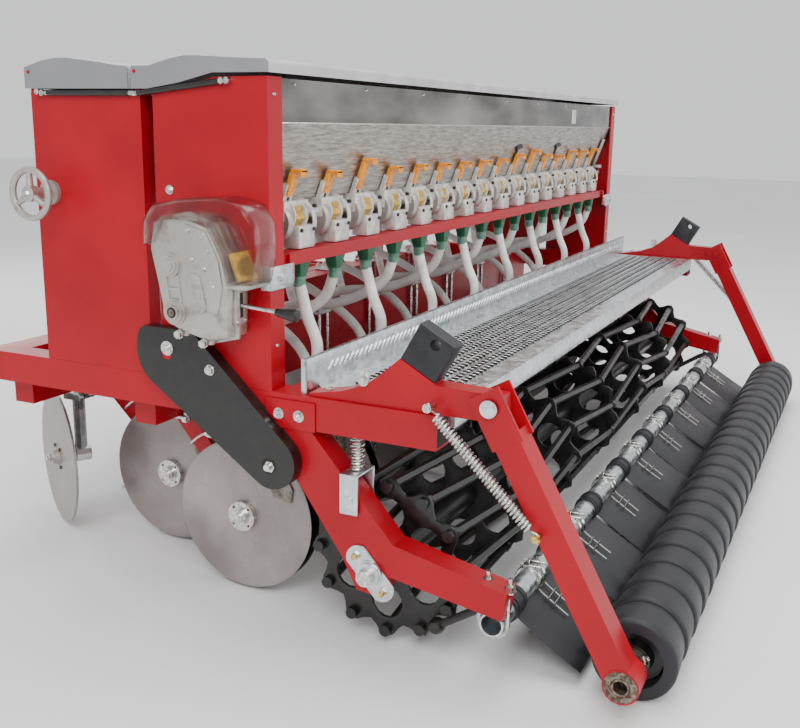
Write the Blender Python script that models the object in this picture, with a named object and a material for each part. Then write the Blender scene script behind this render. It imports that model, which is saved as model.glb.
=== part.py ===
"""Mounted seed drill: two long hoppers side by side, sixteen double-disc openers in two staggered rows,
a loading footboard, a cage packer roller and a rubber-ringed press roller.

X is the machine's width, +Y the direction of travel (the hitch is in front), +Z up, metres.
Shapes are drawn in the drill's own frame: x = 0 at mid width, y = 0 at the hopper's rear flange, z = 0 on
the floor. The root empty carries everything to the middle of the drill's footprint.
"""

import math

import bmesh
import bpy
from mathutils import Matrix, Vector

GAP = 0.0003  # between pieces that touch

# Driving sizes
ROWS = 16
ROW_PITCH = 0.150
HOPPER_HALF = 1.300  # outer face of the hoppers' end panels
HOPPER_TOP = 1.100  # front corners of the end panels
SEED_TOP = 1.130  # rear edge of the seed hopper's end panels
SEED_DEPTH = 0.266
HOPPER_SPACING = 0.030
FERT_DEPTH = 0.287
END_SHEET = 0.005
FLANGE = 0.050
WALL = 0.004
FRAME_TUBE = 0.060
FRAME_TOP = 0.531
FRAME_HEIGHT = 0.068
FRAME_REAR = -0.355
BEAM_INSET = 0.001
TOOLBAR_FRONT = 0.780
TOOLBAR_DEPTH = 0.080
MID_BEAM_Y = 0.370
DISC_RADIUS = 0.175
DISC_FLOOR_GAP = 0.007
REAR_HUB_Y = 0.180
ROW_STAGGER = 0.320
CAGE_Y = -0.220
CAGE_Z = 0.190
CAGE_RADIUS = 0.175
CAGE_LOBES = 12
CAGE_DISCS = 7
PRESS_Y = -0.722
PRESS_RADIUS = 0.082
HINGE_Y = -0.457
HINGE_Z = 0.560
PIPE_Y = -0.470
PIPE_RADIUS = 0.024
FOOTBOARD_REAR = -0.365
KICK_Y = -0.070
KICK_HEIGHT = 0.072
GEARBOX_DEPTH = 0.085
HITCH_FRONT = 1.060
STAND_X = 0.700

# Sizes worked out from them
FRAME_BOTTOM = FRAME_TOP - FRAME_HEIGHT
TUBE_INNER = HOPPER_HALF - FRAME_TUBE
FERT_REAR = SEED_DEPTH + HOPPER_SPACING
FERT_FRONT = FERT_REAR + FERT_DEPTH
PANEL_BOTTOM = FRAME_TOP + GAP
INNER_HALF = HOPPER_HALF - END_SHEET - GAP
TOOLBAR_REAR = TOOLBAR_FRONT - TOOLBAR_DEPTH
HUB_Z = DISC_RADIUS + DISC_FLOOR_GAP
FRONT_HUB_Y = REAR_HUB_Y + ROW_STAGGER
PRESS_REAR = PRESS_Y - PRESS_RADIUS
BRACKET_X0 = HOPPER_HALF - 0.052
BRACKET_X1 = HOPPER_HALF - 0.008
ARM_X0 = BRACKET_X0 - 0.009
ARM_X1 = BRACKET_X1 + 0.009
SPRING_RADIUS = 0.012
SPRING_X = ARM_X1 + 0.016
ORIGIN_X = (HOPPER_HALF + GEARBOX_DEPTH - SPRING_X - SPRING_RADIUS) / 2
ORIGIN_Y = -(HITCH_FRONT + PRESS_REAR) / 2


def clear_scene():
    for obj in list(bpy.data.objects):
        bpy.data.objects.remove(obj)


def material(name, colour, roughness, metallic=0.0):
    made = bpy.data.materials.new(name)
    made.use_nodes = True
    shader = made.node_tree.nodes["Principled BSDF"]
    shader.inputs["Base Color"].default_value = (*colour, 1.0)
    shader.inputs["Roughness"].default_value = roughness
    shader.inputs["Metallic"].default_value = metallic
    return made


def box(x0, x1, y0, y1, z0, z1):
    bm = bmesh.new()
    bmesh.ops.create_cube(bm, size=1.0)
    size = Vector((x1 - x0, y1 - y0, z1 - z0))
    middle = Vector((x0 + x1, y0 + y1, z0 + z1)) / 2
    for vert in bm.verts:
        vert.co = middle + Vector(a * b for a, b in zip(vert.co, size))
    return bm


def slab(outline, x0, x1):
    """A (y, z) outline extruded along X."""
    bm = bmesh.new()
    face = bm.faces.new([bm.verts.new((x0, y, z)) for y, z in outline])
    made = bmesh.ops.extrude_face_region(bm, geom=[face])["geom"]
    moved = [item for item in made if isinstance(item, bmesh.types.BMVert)]
    bmesh.ops.translate(bm, verts=moved, vec=(x1 - x0, 0, 0))
    bmesh.ops.recalc_face_normals(bm, faces=bm.faces)
    return bm


def shell(outline, wall, x0, x1):
    """A strip of sheet along an open (y, z) line, its wall to the left of the line, extruded along X."""
    points = [Vector(p) for p in outline]
    inner = []
    for i, point in enumerate(points):
        before = (point - points[i - 1]).normalized() if i else None
        after = (points[i + 1] - point).normalized() if i + 1 < len(points) else None
        along = ((before or after) + (after or before)).normalized()
        normal = Vector((-along.y, along.x))
        turn = (before or after).dot(along)
        inner.append(point + normal * wall / turn)
    return slab([tuple(p) for p in points + inner[::-1]], x0, x1)


def turned(profile, segments, y=0.0, z=0.0):
    """A (x, radius) profile turned about the line along X at y, z."""
    bm = bmesh.new()
    verts = [bm.verts.new((x, y, z + radius)) for x, radius in profile]
    edges = [bm.edges.new(pair) for pair in zip(verts, verts[1:])]
    bmesh.ops.spin(bm, geom=verts + edges, cent=(0, y, z), axis=(1, 0, 0), angle=2 * math.pi,
                   steps=segments, use_merge=True)
    bmesh.ops.remove_doubles(bm, verts=bm.verts, dist=1e-6)
    bmesh.ops.recalc_face_normals(bm, faces=bm.faces)
    return bm


def rod(start, end, radius, segments=8):
    """A round bar between two points."""
    start, end = Vector(start), Vector(end)
    bm = bmesh.new()
    bmesh.ops.create_cone(bm, cap_ends=True, segments=segments, radius1=radius, radius2=radius,
                          depth=(end - start).length)
    turn = Vector((0, 0, 1)).rotation_difference(end - start).to_matrix().to_4x4()
    bmesh.ops.transform(bm, matrix=Matrix.Translation((start + end) / 2) @ turn, verts=bm.verts)
    return bm


def hose(points, radius, sides=6):
    """A round hose down through the points, all in one plane of constant x, its ends level."""
    bm = bmesh.new()
    points = [Vector(p) for p in points]
    rings = []
    for i, point in enumerate(points):
        inside = 0 < i < len(points) - 1
        ahead = points[i + 1] - points[i - 1] if inside else Vector((0, 0, -1))
        side = Vector((1, 0, 0))
        lift = side.cross(ahead.normalized())
        angles = [2 * math.pi * k / sides for k in range(sides)]
        rings.append([bm.verts.new(point + radius * (side * math.cos(a) + lift * math.sin(a))) for a in angles])
    for low, high in zip(rings, rings[1:]):
        for k in range(sides):
            bm.faces.new((low[k], low[(k + 1) % sides], high[(k + 1) % sides], high[k]))
    bm.faces.new(rings[0])
    bm.faces.new(rings[-1])
    bmesh.ops.recalc_face_normals(bm, faces=bm.faces)
    return bm


def smooth_route(points, steps):
    """Points along a Catmull-Rom curve through the given (y, z) points."""
    points = [Vector(p) for p in points]
    points = [2 * points[0] - points[1], *points, 2 * points[-1] - points[-2]]
    route = []
    for a, b, c, d in zip(points, points[1:], points[2:], points[3:]):
        for step in range(steps):
            t = step / steps
            route.append(0.5 * (2 * b + (c - a) * t + (2 * a - 5 * b + 4 * c - d) * t * t
                                + (3 * b - a - 3 * c + d) * t * t * t))
    return route + [points[-2]]


def arc(y, z, radius, first, last, steps):
    """Points on a circle from one angle to another, in degrees from +Y towards +Z."""
    angles = [math.radians(first + (last - first) * i / steps) for i in range(steps + 1)]
    return [(y + radius * math.cos(a), z + radius * math.sin(a)) for a in angles]


def mirrored(outline_bm):
    """A copy on the other side of the machine's middle."""
    bmesh.ops.scale(outline_bm, vec=(-1, 1, 1), verts=outline_bm.verts)
    bmesh.ops.reverse_faces(outline_bm, faces=outline_bm.faces)
    return outline_bm


def mesh_object(name, bm, pivot):
    bmesh.ops.translate(bm, verts=bm.verts, vec=-Vector(pivot))
    mesh = bpy.data.meshes.new(name)
    bm.to_mesh(mesh)
    bm.free()
    obj = bpy.data.objects.new(name, mesh)
    obj.parent = bpy.data.objects["drill_root"]
    obj.location = pivot
    return obj


def helper_collection(name, pieces, pivot):
    """Shapes that a Boolean joins to an object or cuts from it."""
    held = bpy.data.collections.new(name)
    bpy.context.scene.collection.children.link(held)
    for i, bm in enumerate(pieces):
        helper = mesh_object(f"{name}_{i}", bm, pivot)
        helper.hide_render = True
        helper.display_type = "WIRE"
        held.objects.link(helper)
    held.hide_render = True
    return held


def boolean(obj, operation, held):
    modifier = obj.modifiers.new(operation.title(), "BOOLEAN")
    modifier.operation = operation
    modifier.operand_type = "COLLECTION"
    modifier.collection = held
    modifier.solver = "EXACT"


def node(name, paint, pieces, cutters=(), pivot=(0, 0, 0), round_over=0):
    """One sub-part: the pieces joined, the cutters taken away, its origin at the pivot."""
    obj = mesh_object(name, pieces[0], pivot)
    bpy.context.scene.collection.objects.link(obj)
    if len(pieces) > 1:
        boolean(obj, "UNION", helper_collection(name + ".join", pieces[1:], pivot))
    if cutters:
        boolean(obj, "DIFFERENCE", helper_collection(name + ".cut", cutters, pivot))
    obj.data.materials.append(paint)
    if round_over:
        obj.data.shade_smooth()
        obj.data.set_sharp_from_angle(angle=math.radians(round_over))
    return obj


def both_sides(name, paint, make, **settings):
    """The same sub-part on the left and on the right, mirrored."""
    for side, word in ((-1, "left"), (1, "right")):
        pieces = [piece if side < 0 else mirrored(piece) for piece in make()]
        node(f"{name}_{word}", paint, pieces, **settings)


def row_x(row):
    return (row - (ROWS - 1) / 2) * ROW_PITCH


# Frame and hitch

PIVOT_BAR_HEIGHT = 0.068
FRONT_BAR_Y = TOOLBAR_REAR + 0.030


def cross_beam(y0, y1, half):
    return box(-half, half, y0, y1, FRAME_BOTTOM + BEAM_INSET, FRAME_TOP - BEAM_INSET)


def main_frame(paint):
    """The two side tubes, open at the rear, with the rear beam between them."""
    bore = 0.0045
    pieces = [cross_beam(-0.060, -0.010, TUBE_INNER + 0.010)]
    cutters = []
    for x0, x1 in ((-HOPPER_HALF, -TUBE_INNER), (TUBE_INNER, HOPPER_HALF)):
        pieces.append(box(x0, x1, FRAME_REAR, TOOLBAR_FRONT, FRAME_BOTTOM, FRAME_TOP))
        cutters.append(box(x0 + bore, x1 - bore, FRAME_REAR - 0.010, FRAME_REAR + 0.240,
                           FRAME_BOTTOM + bore, FRAME_TOP - bore))
    node("main_frame", paint, pieces, cutters)


def front_beams(paint):
    """The beams between the side tubes that the openers hang from; the front one holds the stands' sleeves."""
    half = TUBE_INNER - GAP
    node("middle_beam", paint, [cross_beam(MID_BEAM_Y - 0.030, MID_BEAM_Y + 0.030, half)])
    sleeves = [stand_sleeve(side * STAND_X) for side in (-1, 1)]
    bores = [stand_bore(side * STAND_X) for side in (-1, 1)]
    node("front_toolbar", paint, [cross_beam(TOOLBAR_REAR, TOOLBAR_FRONT - BEAM_INSET, half), *sleeves], bores)


STAND_SLEEVE = 0.066
STAND_TUBE = 0.050
STAND_CLEARANCE = 0.0008
STAND_Y = TOOLBAR_FRONT + STAND_SLEEVE / 2 - 0.002


def stand_sleeve(x):
    half = STAND_SLEEVE / 2
    return box(x - half, x + half, STAND_Y - half, STAND_Y + half, FRAME_BOTTOM - 0.050, FRAME_TOP + 0.070)


def stand_bore(x):
    half = STAND_TUBE / 2 + STAND_CLEARANCE
    return box(x - half, x + half, STAND_Y - half, STAND_Y + half, FRAME_BOTTOM - 0.100, FRAME_TOP + 0.200)


def parking_stands(paint):
    half = STAND_TUBE / 2
    foot = 0.065
    for side, word in ((-1, "left"), (1, "right")):
        x = side * STAND_X
        leg = box(x - half, x + half, STAND_Y - half, STAND_Y + half, 0.004, FRAME_TOP + 0.150)
        pad = box(x - foot, x + foot, STAND_Y - foot, STAND_Y + foot, 0.0, 0.008)
        node(f"parking_stand_{word}", paint, [leg, pad], pivot=(x, STAND_Y, 0.0))


LINK_X = 0.400
LINK_Z = 0.480
TOP_LINK_Z = 1.000
LUG = 0.012


def hitch_lug(x, y0, z, pin_y, reach):
    """A flat lug round a pin, from the plane y0 forward."""
    nose = arc(pin_y, z, reach, -90, 90, 6)
    return slab([(y0, z - reach), *nose, (y0, z + reach)], x - LUG / 2, x + LUG / 2)


def headstock(paint):
    front = TOOLBAR_FRONT - BEAM_INSET + GAP
    base = front + 0.050
    reach = 0.045
    pin_y = HITCH_FRONT - reach
    pieces = [box(-LINK_X - 0.060, LINK_X + 0.060, front, base, FRAME_BOTTOM - 0.040, FRAME_TOP)]
    for side in (-1, 1):
        for offset in (-0.032, 0.032):
            pieces.append(hitch_lug(side * LINK_X + offset, base - 0.010, LINK_Z, pin_y, reach))
        pieces.append(rod((side * LINK_X - 0.0385, pin_y, LINK_Z), (side * LINK_X + 0.0385, pin_y, LINK_Z), 0.014))
        pieces.append(leaning_post(side, front, base))
        pieces.append(hitch_lug(side * 0.036, front + 0.004, TOP_LINK_Z, pin_y - 0.060, 0.040))
    pieces.append(rod((-0.041, pin_y - 0.060, TOP_LINK_Z), (0.041, pin_y - 0.060, TOP_LINK_Z), 0.0125))
    pieces.append(box(-0.090, 0.090, front + 0.001, base - 0.001, TOP_LINK_Z - 0.050, TOP_LINK_Z + 0.055))
    node("headstock", paint, pieces)


def leaning_post(side, y0, y1):
    """A flat post that leans in from the lower link to the top link."""
    foot, head, half = LINK_X, 0.060, 0.030
    low, high = FRAME_TOP - 0.020, TOP_LINK_Z + 0.050
    bm = bmesh.new()
    corners = [(side * (foot + half), low), (side * (foot - half), low),
               (side * (head - half), high), (side * (head + half), high)]
    face = bm.faces.new([bm.verts.new((x, y0 + 0.002, z)) for x, z in corners])
    made = bmesh.ops.extrude_face_region(bm, geom=[face])["geom"]
    moved = [item for item in made if isinstance(item, bmesh.types.BMVert)]
    bmesh.ops.translate(bm, verts=moved, vec=(0, y1 - y0 - 0.004, 0))
    bmesh.ops.recalc_face_normals(bm, faces=bm.faces)
    return bm


# Hoppers, lids and metering

OUTLET_Z = 0.893
BAND_Z = 1.047
LID_WALL = 0.003
LID_OVER = 0.010
CUP_TOP = OUTLET_Z - GAP
CUP_WIDTH = 0.110
CUP_REAR = 0.020
RAIL_TOP = 0.794
RAIL_BOTTOM = 0.768
RAIL_Y = 0.012


def lid_ear(y):
    """A small ear on an end panel's top edge with the pin that a lid turns on."""
    ear = box(-HOPPER_HALF, -HOPPER_HALF + END_SHEET, y - 0.0037, y + 0.006, HOPPER_TOP - 0.010, LID_HINGE_Z + 0.0055)
    pin = rod((-HOPPER_HALF - LID_OVER - 0.002, y, LID_HINGE_Z), (-HOPPER_HALF + 0.002, y, LID_HINGE_Z), HINGE_PIN, 8)
    return [ear, pin]


def end_panels(paint):
    def seed_panel():
        top = [(0, SEED_TOP), (0.116, SEED_TOP - 0.001), (0.195, HOPPER_TOP + 0.011), (SEED_DEPTH, HOPPER_TOP)]
        sheet = slab([(0, PANEL_BOTTOM), *top, (SEED_DEPTH, PANEL_BOTTOM)], -HOPPER_HALF, -HOPPER_HALF + END_SHEET)
        rear = box(-HOPPER_HALF, -HOPPER_HALF + FLANGE, 0, END_SHEET, PANEL_BOTTOM, SEED_TOP)
        return [sheet, rear]

    def fertiliser_panel():
        sheet = box(-HOPPER_HALF, -HOPPER_HALF + END_SHEET, FERT_REAR, FERT_FRONT, PANEL_BOTTOM, HOPPER_TOP)
        ears = [lid_ear(y) for y in (SEED_LID_HINGE_Y, FERT_LID_HINGE_Y)]
        rear = box(-HOPPER_HALF, -HOPPER_HALF + FLANGE * 0.7, FERT_REAR, FERT_REAR + END_SHEET,
                   PANEL_BOTTOM, HOPPER_TOP)
        front = box(-HOPPER_HALF, -HOPPER_HALF + FLANGE, FERT_FRONT - END_SHEET, FERT_FRONT,
                    PANEL_BOTTOM, HOPPER_TOP)
        return [sheet, rear, front, *ears[0], *ears[1]]

    both_sides("seed_hopper_end", paint, seed_panel)
    both_sides("fertiliser_hopper_end", paint, fertiliser_panel)


def hoppers(paint):
    skin = END_SHEET + GAP
    rear, front = skin, SEED_DEPTH - 0.004
    seed = [(rear, SEED_TOP - 0.002), (rear, BAND_Z), (0.060, OUTLET_Z), (0.150, OUTLET_Z),
            (front, BAND_Z - 0.020), (front, HOPPER_TOP - 0.010)]
    node("seed_hopper", paint, [shell(seed, WALL, -INNER_HALF, INNER_HALF)])
    rear, front = FERT_REAR + skin, FERT_FRONT - skin
    fertiliser = [(rear, HOPPER_TOP - 0.004), (rear, BAND_Z - 0.020), (FERT_FRONT - 0.165, OUTLET_Z),
                  (FERT_FRONT - 0.075, OUTLET_Z), (front, BAND_Z), (front, HOPPER_TOP - 0.004)]
    node("fertiliser_hopper", paint, [shell(fertiliser, WALL, -INNER_HALF, INNER_HALF)])


LID_HINGE_Z = 1.140
SEED_LID_HINGE_Y = FERT_REAR + 0.004
FERT_LID_HINGE_Y = FERT_FRONT - 0.007
HINGE_PIN = 0.0035
PIN_CLEARANCE = 0.0004


def lid_cap(outline, x):
    return slab(outline, x, x + LID_WALL)


def ear_notch(side, hinge_y):
    """Room inside a lid's end cap for the ear that it turns round."""
    ends = sorted((side * (HOPPER_HALF - 0.011), side * (HOPPER_HALF + LID_OVER - LID_WALL)))
    return box(*ends, hinge_y - 0.018, hinge_y + 0.030, HOPPER_TOP - 0.010, LID_HINGE_Z + 0.040)


def lids(paint):
    half = HOPPER_HALF + LID_OVER
    split = SEED_LID_HINGE_Y + 0.009
    seed_line = [(-0.008, 1.136), (-0.008, 1.160), (0.181, 1.168), (0.265, 1.150), (split - 0.004, 1.150),
                 (split, 1.144), (split, 1.106)]
    seed_under = [(0.270, 1.106), (0.195, 1.118), (0.116, 1.136)]
    reach = HOPPER_HALF + 0.030
    fert_line = [(split + 0.008, 1.106), (split + 0.008, 1.150), (0.389, 1.161), (0.501, 1.168),
                 (FERT_FRONT + 0.006, 1.150), (FERT_FRONT + 0.006, 1.106)]
    for name, line, under, hinge_y in (
        ("seed_hopper_lid", seed_line, seed_under, SEED_LID_HINGE_Y),
        ("fertiliser_hopper_lid", fert_line, [], FERT_LID_HINGE_Y),
    ):
        cap = line + under
        pieces = [shell(line[::-1], LID_WALL, -half, half), lid_cap(cap, -half), lid_cap(cap, half - LID_WALL)]
        bores = [rod((side * (HOPPER_HALF + 0.004), hinge_y, LID_HINGE_Z), (side * reach, hinge_y, LID_HINGE_Z),
                     HINGE_PIN + PIN_CLEARANCE, 8) for side in (-1, 1)]
        notches = [ear_notch(side, hinge_y) for side in (-1, 1)]
        node(name, paint, pieces, bores + notches, pivot=(0, hinge_y, LID_HINGE_Z))


def cup(x, side, edge):
    """A cast metering cup under a hopper: its outlet side faces side (-1 rear, 1 front) from the edge."""
    def at(depth):
        return edge - side * depth

    outline = [(at(0.012), RAIL_TOP + 0.002), (at(0.0), RAIL_TOP + 0.030), (at(0.0), CUP_TOP - 0.016),
               (at(0.012), CUP_TOP), (at(0.085), CUP_TOP), (at(0.085), CUP_TOP - 0.040),
               (at(0.050), RAIL_TOP + 0.002)]
    return slab(outline, x - CUP_WIDTH / 2, x + CUP_WIDTH / 2)


def metering_units(paint):
    for name, side, edge in (("seed_metering_unit", -1, CUP_REAR), ("fertiliser_metering_unit", 1, FERT_FRONT - 0.020)):
        shaft_y = edge - side * 0.040
        cups = [cup(row_x(row), side, edge) for row in range(ROWS)]
        shaft = rod((-INNER_HALF, shaft_y, 0.850), (INNER_HALF, shaft_y, 0.850), 0.011, 6)
        node(name, paint, [shaft, *cups])


def rail_section(side, edge):
    def at(depth):
        return edge - side * depth

    return [(at(0.0), RAIL_BOTTOM), (at(0.0), RAIL_TOP), (at(0.042), RAIL_TOP), (at(0.042), RAIL_TOP - 0.004),
            (at(0.004), RAIL_TOP - 0.004), (at(0.004), RAIL_BOTTOM)]


def metering_rails(paint):
    node("seed_funnel_rail", paint, [slab(rail_section(-1, RAIL_Y), -INNER_HALF, INNER_HALF)])
    front = FERT_FRONT - 0.012
    node("fertiliser_funnel_rail", paint, [slab(rail_section(1, front), -INNER_HALF, INNER_HALF)])


# Funnels and tubes

STRIP_TOP = RAIL_TOP - 0.004 - GAP
TUBE_TOP = STRIP_TOP - 0.068
FUNNEL_WIDTH = 0.056
TUBE_RADIUS = 0.0125
BOOT_TOP = 0.372
SEED_BOOT = -0.055  # from the opener's hub, along Y
FERT_BOOT = -0.005


def funnel(x, y):
    """A funnel that narrows from a box mouth to the tube."""
    top, neck = STRIP_TOP - 0.002, STRIP_TOP - 0.075
    bm = bmesh.new()
    half, depth, spout = FUNNEL_WIDTH / 2, 0.020, 0.0145
    mouth = [bm.verts.new((x + a * half, y + b * depth, top)) for a, b in ((-1, -1), (1, -1), (1, 1), (-1, 1))]
    end = [bm.verts.new((x + a * spout, y + b * spout, neck)) for a, b in ((-1, -1), (1, -1), (1, 1), (-1, 1))]
    for k in range(4):
        bm.faces.new((mouth[k], mouth[(k + 1) % 4], end[(k + 1) % 4], end[k]))
    bm.faces.new(mouth)
    bm.faces.new(end)
    bmesh.ops.recalc_face_normals(bm, faces=bm.faces)
    return bm


def seed_tubes(paint):
    y = RAIL_Y + 0.030
    strip = box(-INNER_HALF, INNER_HALF, RAIL_Y + 0.0045, RAIL_Y + 0.042, STRIP_TOP - 0.008, STRIP_TOP)
    pieces = [strip]
    for row in range(ROWS):
        x = row_x(row)
        pieces.append(funnel(x, y))
        if row % 2 == 0:
            boot = REAR_HUB_Y + SEED_BOOT
            route = [(y, TUBE_TOP), (y - 0.020, 0.650), (y - 0.043, 0.590), (y - 0.030, 0.520), (boot - 0.050, 0.440),
                     (boot, BOOT_TOP + GAP)]
        else:
            boot = FRONT_HUB_Y + SEED_BOOT
            route = [(y, TUBE_TOP), (y + 0.036, 0.655), (y + 0.160, 0.595), (MID_BEAM_Y + 0.005, 0.565),
                     (boot - 0.006, 0.490), (boot, BOOT_TOP + GAP)]
        pieces.append(hose([(x, *p) for p in smooth_route(route, 2)], TUBE_RADIUS))
    node("seed_tubes", paint, pieces)


def fertiliser_tubes(paint):
    front = FERT_FRONT - 0.012
    y = front - 0.030
    strip = box(-INNER_HALF, INNER_HALF, front - 0.042, front - 0.0045, STRIP_TOP - 0.008, STRIP_TOP)
    pieces = [strip]
    for row in range(ROWS):
        x = row_x(row)
        pieces.append(funnel(x, y))
        if row % 2 == 0:
            boot = REAR_HUB_Y + FERT_BOOT
            route = [(y, TUBE_TOP), (y - 0.060, 0.640), (MID_BEAM_Y - 0.010, 0.590), (boot + 0.050, 0.500),
                     (boot, BOOT_TOP + GAP)]
        else:
            boot = FRONT_HUB_Y + FERT_BOOT
            route = [(y, TUBE_TOP), (y, 0.600), (boot + 0.015, 0.480), (boot, BOOT_TOP + GAP)]
        pieces.append(hose([(x, *p) for p in smooth_route(route, 2)], TUBE_RADIUS))
    node("fertiliser_tubes", paint, pieces)


# Openers

BOOT_WIDTH = 0.020
DISC_INNER = 0.016  # from the row's middle to a disc's inner face
DISC_SHEET = 0.004
AXLE_RADIUS = 0.010
AXLE_CLEARANCE = 0.0005


def opener_arm(x, hub_y, bar_y):
    """The arm, the shank between the discs and the boot that the tubes end on, as one outline."""
    nose = arc(hub_y, HUB_Z, 0.030, -170, -60, 4)
    outline = [*nose, (hub_y + 0.050, HUB_Z + 0.035), (bar_y + 0.020, FRAME_BOTTOM - PIVOT_BAR_HEIGHT + 0.010),
               (bar_y - 0.020, FRAME_BOTTOM - PIVOT_BAR_HEIGHT + 0.030), (hub_y + 0.060, HUB_Z + 0.110),
               (hub_y + 0.030, BOOT_TOP), (hub_y - 0.085, BOOT_TOP), (hub_y - 0.080, HUB_Z + 0.110)]
    return slab(outline, x - BOOT_WIDTH / 2, x + BOOT_WIDTH / 2)


def opener_rows(paint):
    for name, first, hub_y, bar_y in (
        ("rear_opener_arms", 0, REAR_HUB_Y, MID_BEAM_Y),
        ("front_opener_arms", 1, FRONT_HUB_Y, FRONT_BAR_Y),
    ):
        top = FRAME_BOTTOM - GAP
        pieces = [box(-TUBE_INNER, TUBE_INNER, bar_y - 0.028, bar_y + 0.028, top - PIVOT_BAR_HEIGHT, top)]
        cutters = []
        for row in range(first, ROWS, 2):
            x = row_x(row)
            pieces.append(opener_arm(x, hub_y, bar_y))
            cutters.append(rod((x - 0.030, hub_y, HUB_Z), (x + 0.030, hub_y, HUB_Z), AXLE_RADIUS + AXLE_CLEARANCE, 12))
        node(name, paint, pieces, cutters)


def opener_discs(paint):
    """Each opener's pair of discs on its axle."""
    outer = DISC_INNER + DISC_SHEET
    profile = [(-outer, 0), (-outer, DISC_RADIUS), (-DISC_INNER, DISC_RADIUS), (-DISC_INNER, AXLE_RADIUS)]
    profile += [(-x, radius) for x, radius in profile[::-1]]
    for row in range(ROWS):
        hub_y = REAR_HUB_Y if row % 2 == 0 else FRONT_HUB_Y
        bm = turned([(row_x(row) + x, r) for x, r in profile], 18, hub_y, HUB_Z)
        node(f"opener_discs_{row + 1:02d}", paint, [bm], pivot=(row_x(row), hub_y, HUB_Z), round_over=40)


# Rear rollers

CAGE_HALF = 1.220
CAGE_SHEET = 0.008
CAGE_BAR = 0.012
STUB_RADIUS = 0.020


def cage_disc(x, lobed):
    """A cage disc: the end discs have a lobe for each bar."""
    points = []
    for i in range(2 * CAGE_LOBES if lobed else CAGE_LOBES):
        angle = math.pi * i / CAGE_LOBES if lobed else 2 * math.pi * (i + 0.5) / CAGE_LOBES
        radius = CAGE_RADIUS - (0.024 if i % 2 or not lobed else 0.0)
        points.append((CAGE_Y + radius * math.cos(angle), CAGE_Z + radius * math.sin(angle)))
    return slab(points, x - CAGE_SHEET / 2, x + CAGE_SHEET / 2)


def cage_bar(index):
    """A bar that zigzags from disc to disc."""
    spacing = (2 * CAGE_HALF - CAGE_SHEET) / (CAGE_DISCS - 1)
    half = CAGE_BAR / 2
    bm = bmesh.new()
    rings = []
    for k in range(CAGE_DISCS):
        angle = 2 * math.pi * (index + (0.0 if k % 2 == 0 else 0.5)) / CAGE_LOBES
        out = Vector((0, math.cos(angle), math.sin(angle)))
        along = Vector((0, -math.sin(angle), math.cos(angle)))
        middle = Vector((-CAGE_HALF + CAGE_SHEET / 2 + k * spacing, CAGE_Y, CAGE_Z))
        middle += out * (CAGE_RADIUS - 0.022)
        rings.append([bm.verts.new(middle + half * (a * out + b * along)) for a, b in
                      ((-1, -1), (1, -1), (1, 1), (-1, 1))])
    for low, high in zip(rings, rings[1:]):
        for k in range(4):
            bm.faces.new((low[k], low[(k + 1) % 4], high[(k + 1) % 4], high[k]))
    bm.faces.new(rings[0])
    bm.faces.new(rings[-1])
    bmesh.ops.recalc_face_normals(bm, faces=bm.faces)
    return bm


def cage_roller(paint):
    spacing = (2 * CAGE_HALF - CAGE_SHEET) / (CAGE_DISCS - 1)
    shaft = turned([(-HOPPER_HALF - 0.004, 0), (-HOPPER_HALF - 0.004, STUB_RADIUS), (-CAGE_HALF - 0.001, STUB_RADIUS),
                    (-CAGE_HALF - 0.001, 0.045), (CAGE_HALF + 0.001, 0.045), (CAGE_HALF + 0.001, STUB_RADIUS),
                    (HOPPER_HALF + 0.004, STUB_RADIUS), (HOPPER_HALF + 0.004, 0)], 12, CAGE_Y, CAGE_Z)
    discs = [cage_disc(-CAGE_HALF + CAGE_SHEET / 2 + k * spacing, k in (0, CAGE_DISCS - 1)) for k in range(CAGE_DISCS)]
    bars = [cage_bar(i) for i in range(CAGE_LOBES)]
    node("cage_roller", paint, [shaft, *discs, *bars], pivot=(0, CAGE_Y, CAGE_Z))


ARM_TAIL = ((PIPE_Y - 0.026, CAGE_Z - 0.036), (CAGE_Y - 0.045, CAGE_Z + 0.002))  # the tail's underside


def cage_roller_arms(paint):
    top = FRAME_BOTTOM - GAP
    outline = [(0.020, top), (-0.088, top), (CAGE_Y - 0.050, CAGE_Z + 0.070), (PIPE_Y - 0.034, CAGE_Z + 0.020),
               *ARM_TAIL, (CAGE_Y - 0.025, CAGE_Z - 0.045),
               (CAGE_Y + 0.028, CAGE_Z - 0.040), (CAGE_Y + 0.062, CAGE_Z + 0.025)]
    x0, x1 = -HOPPER_HALF, -HOPPER_HALF + FRAME_TUBE - 0.006

    def arm():
        return [slab(outline, x0, x1)]

    bores = [rod((side * (HOPPER_HALF + 0.010), CAGE_Y, CAGE_Z), (side * (HOPPER_HALF - 0.100), CAGE_Y, CAGE_Z),
                 STUB_RADIUS + 0.001, 12) for side in (-1, 1)]
    for side, word, bore in zip((-1, 1), ("left", "right"), bores):
        pieces = arm() if side < 0 else [mirrored(piece) for piece in arm()]
        node(f"cage_roller_arm_{word}", paint, pieces, [bore])


PRESS_HALF = 1.200
CORE_RADIUS = 0.045
AXLE_STUB = 0.0175


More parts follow.
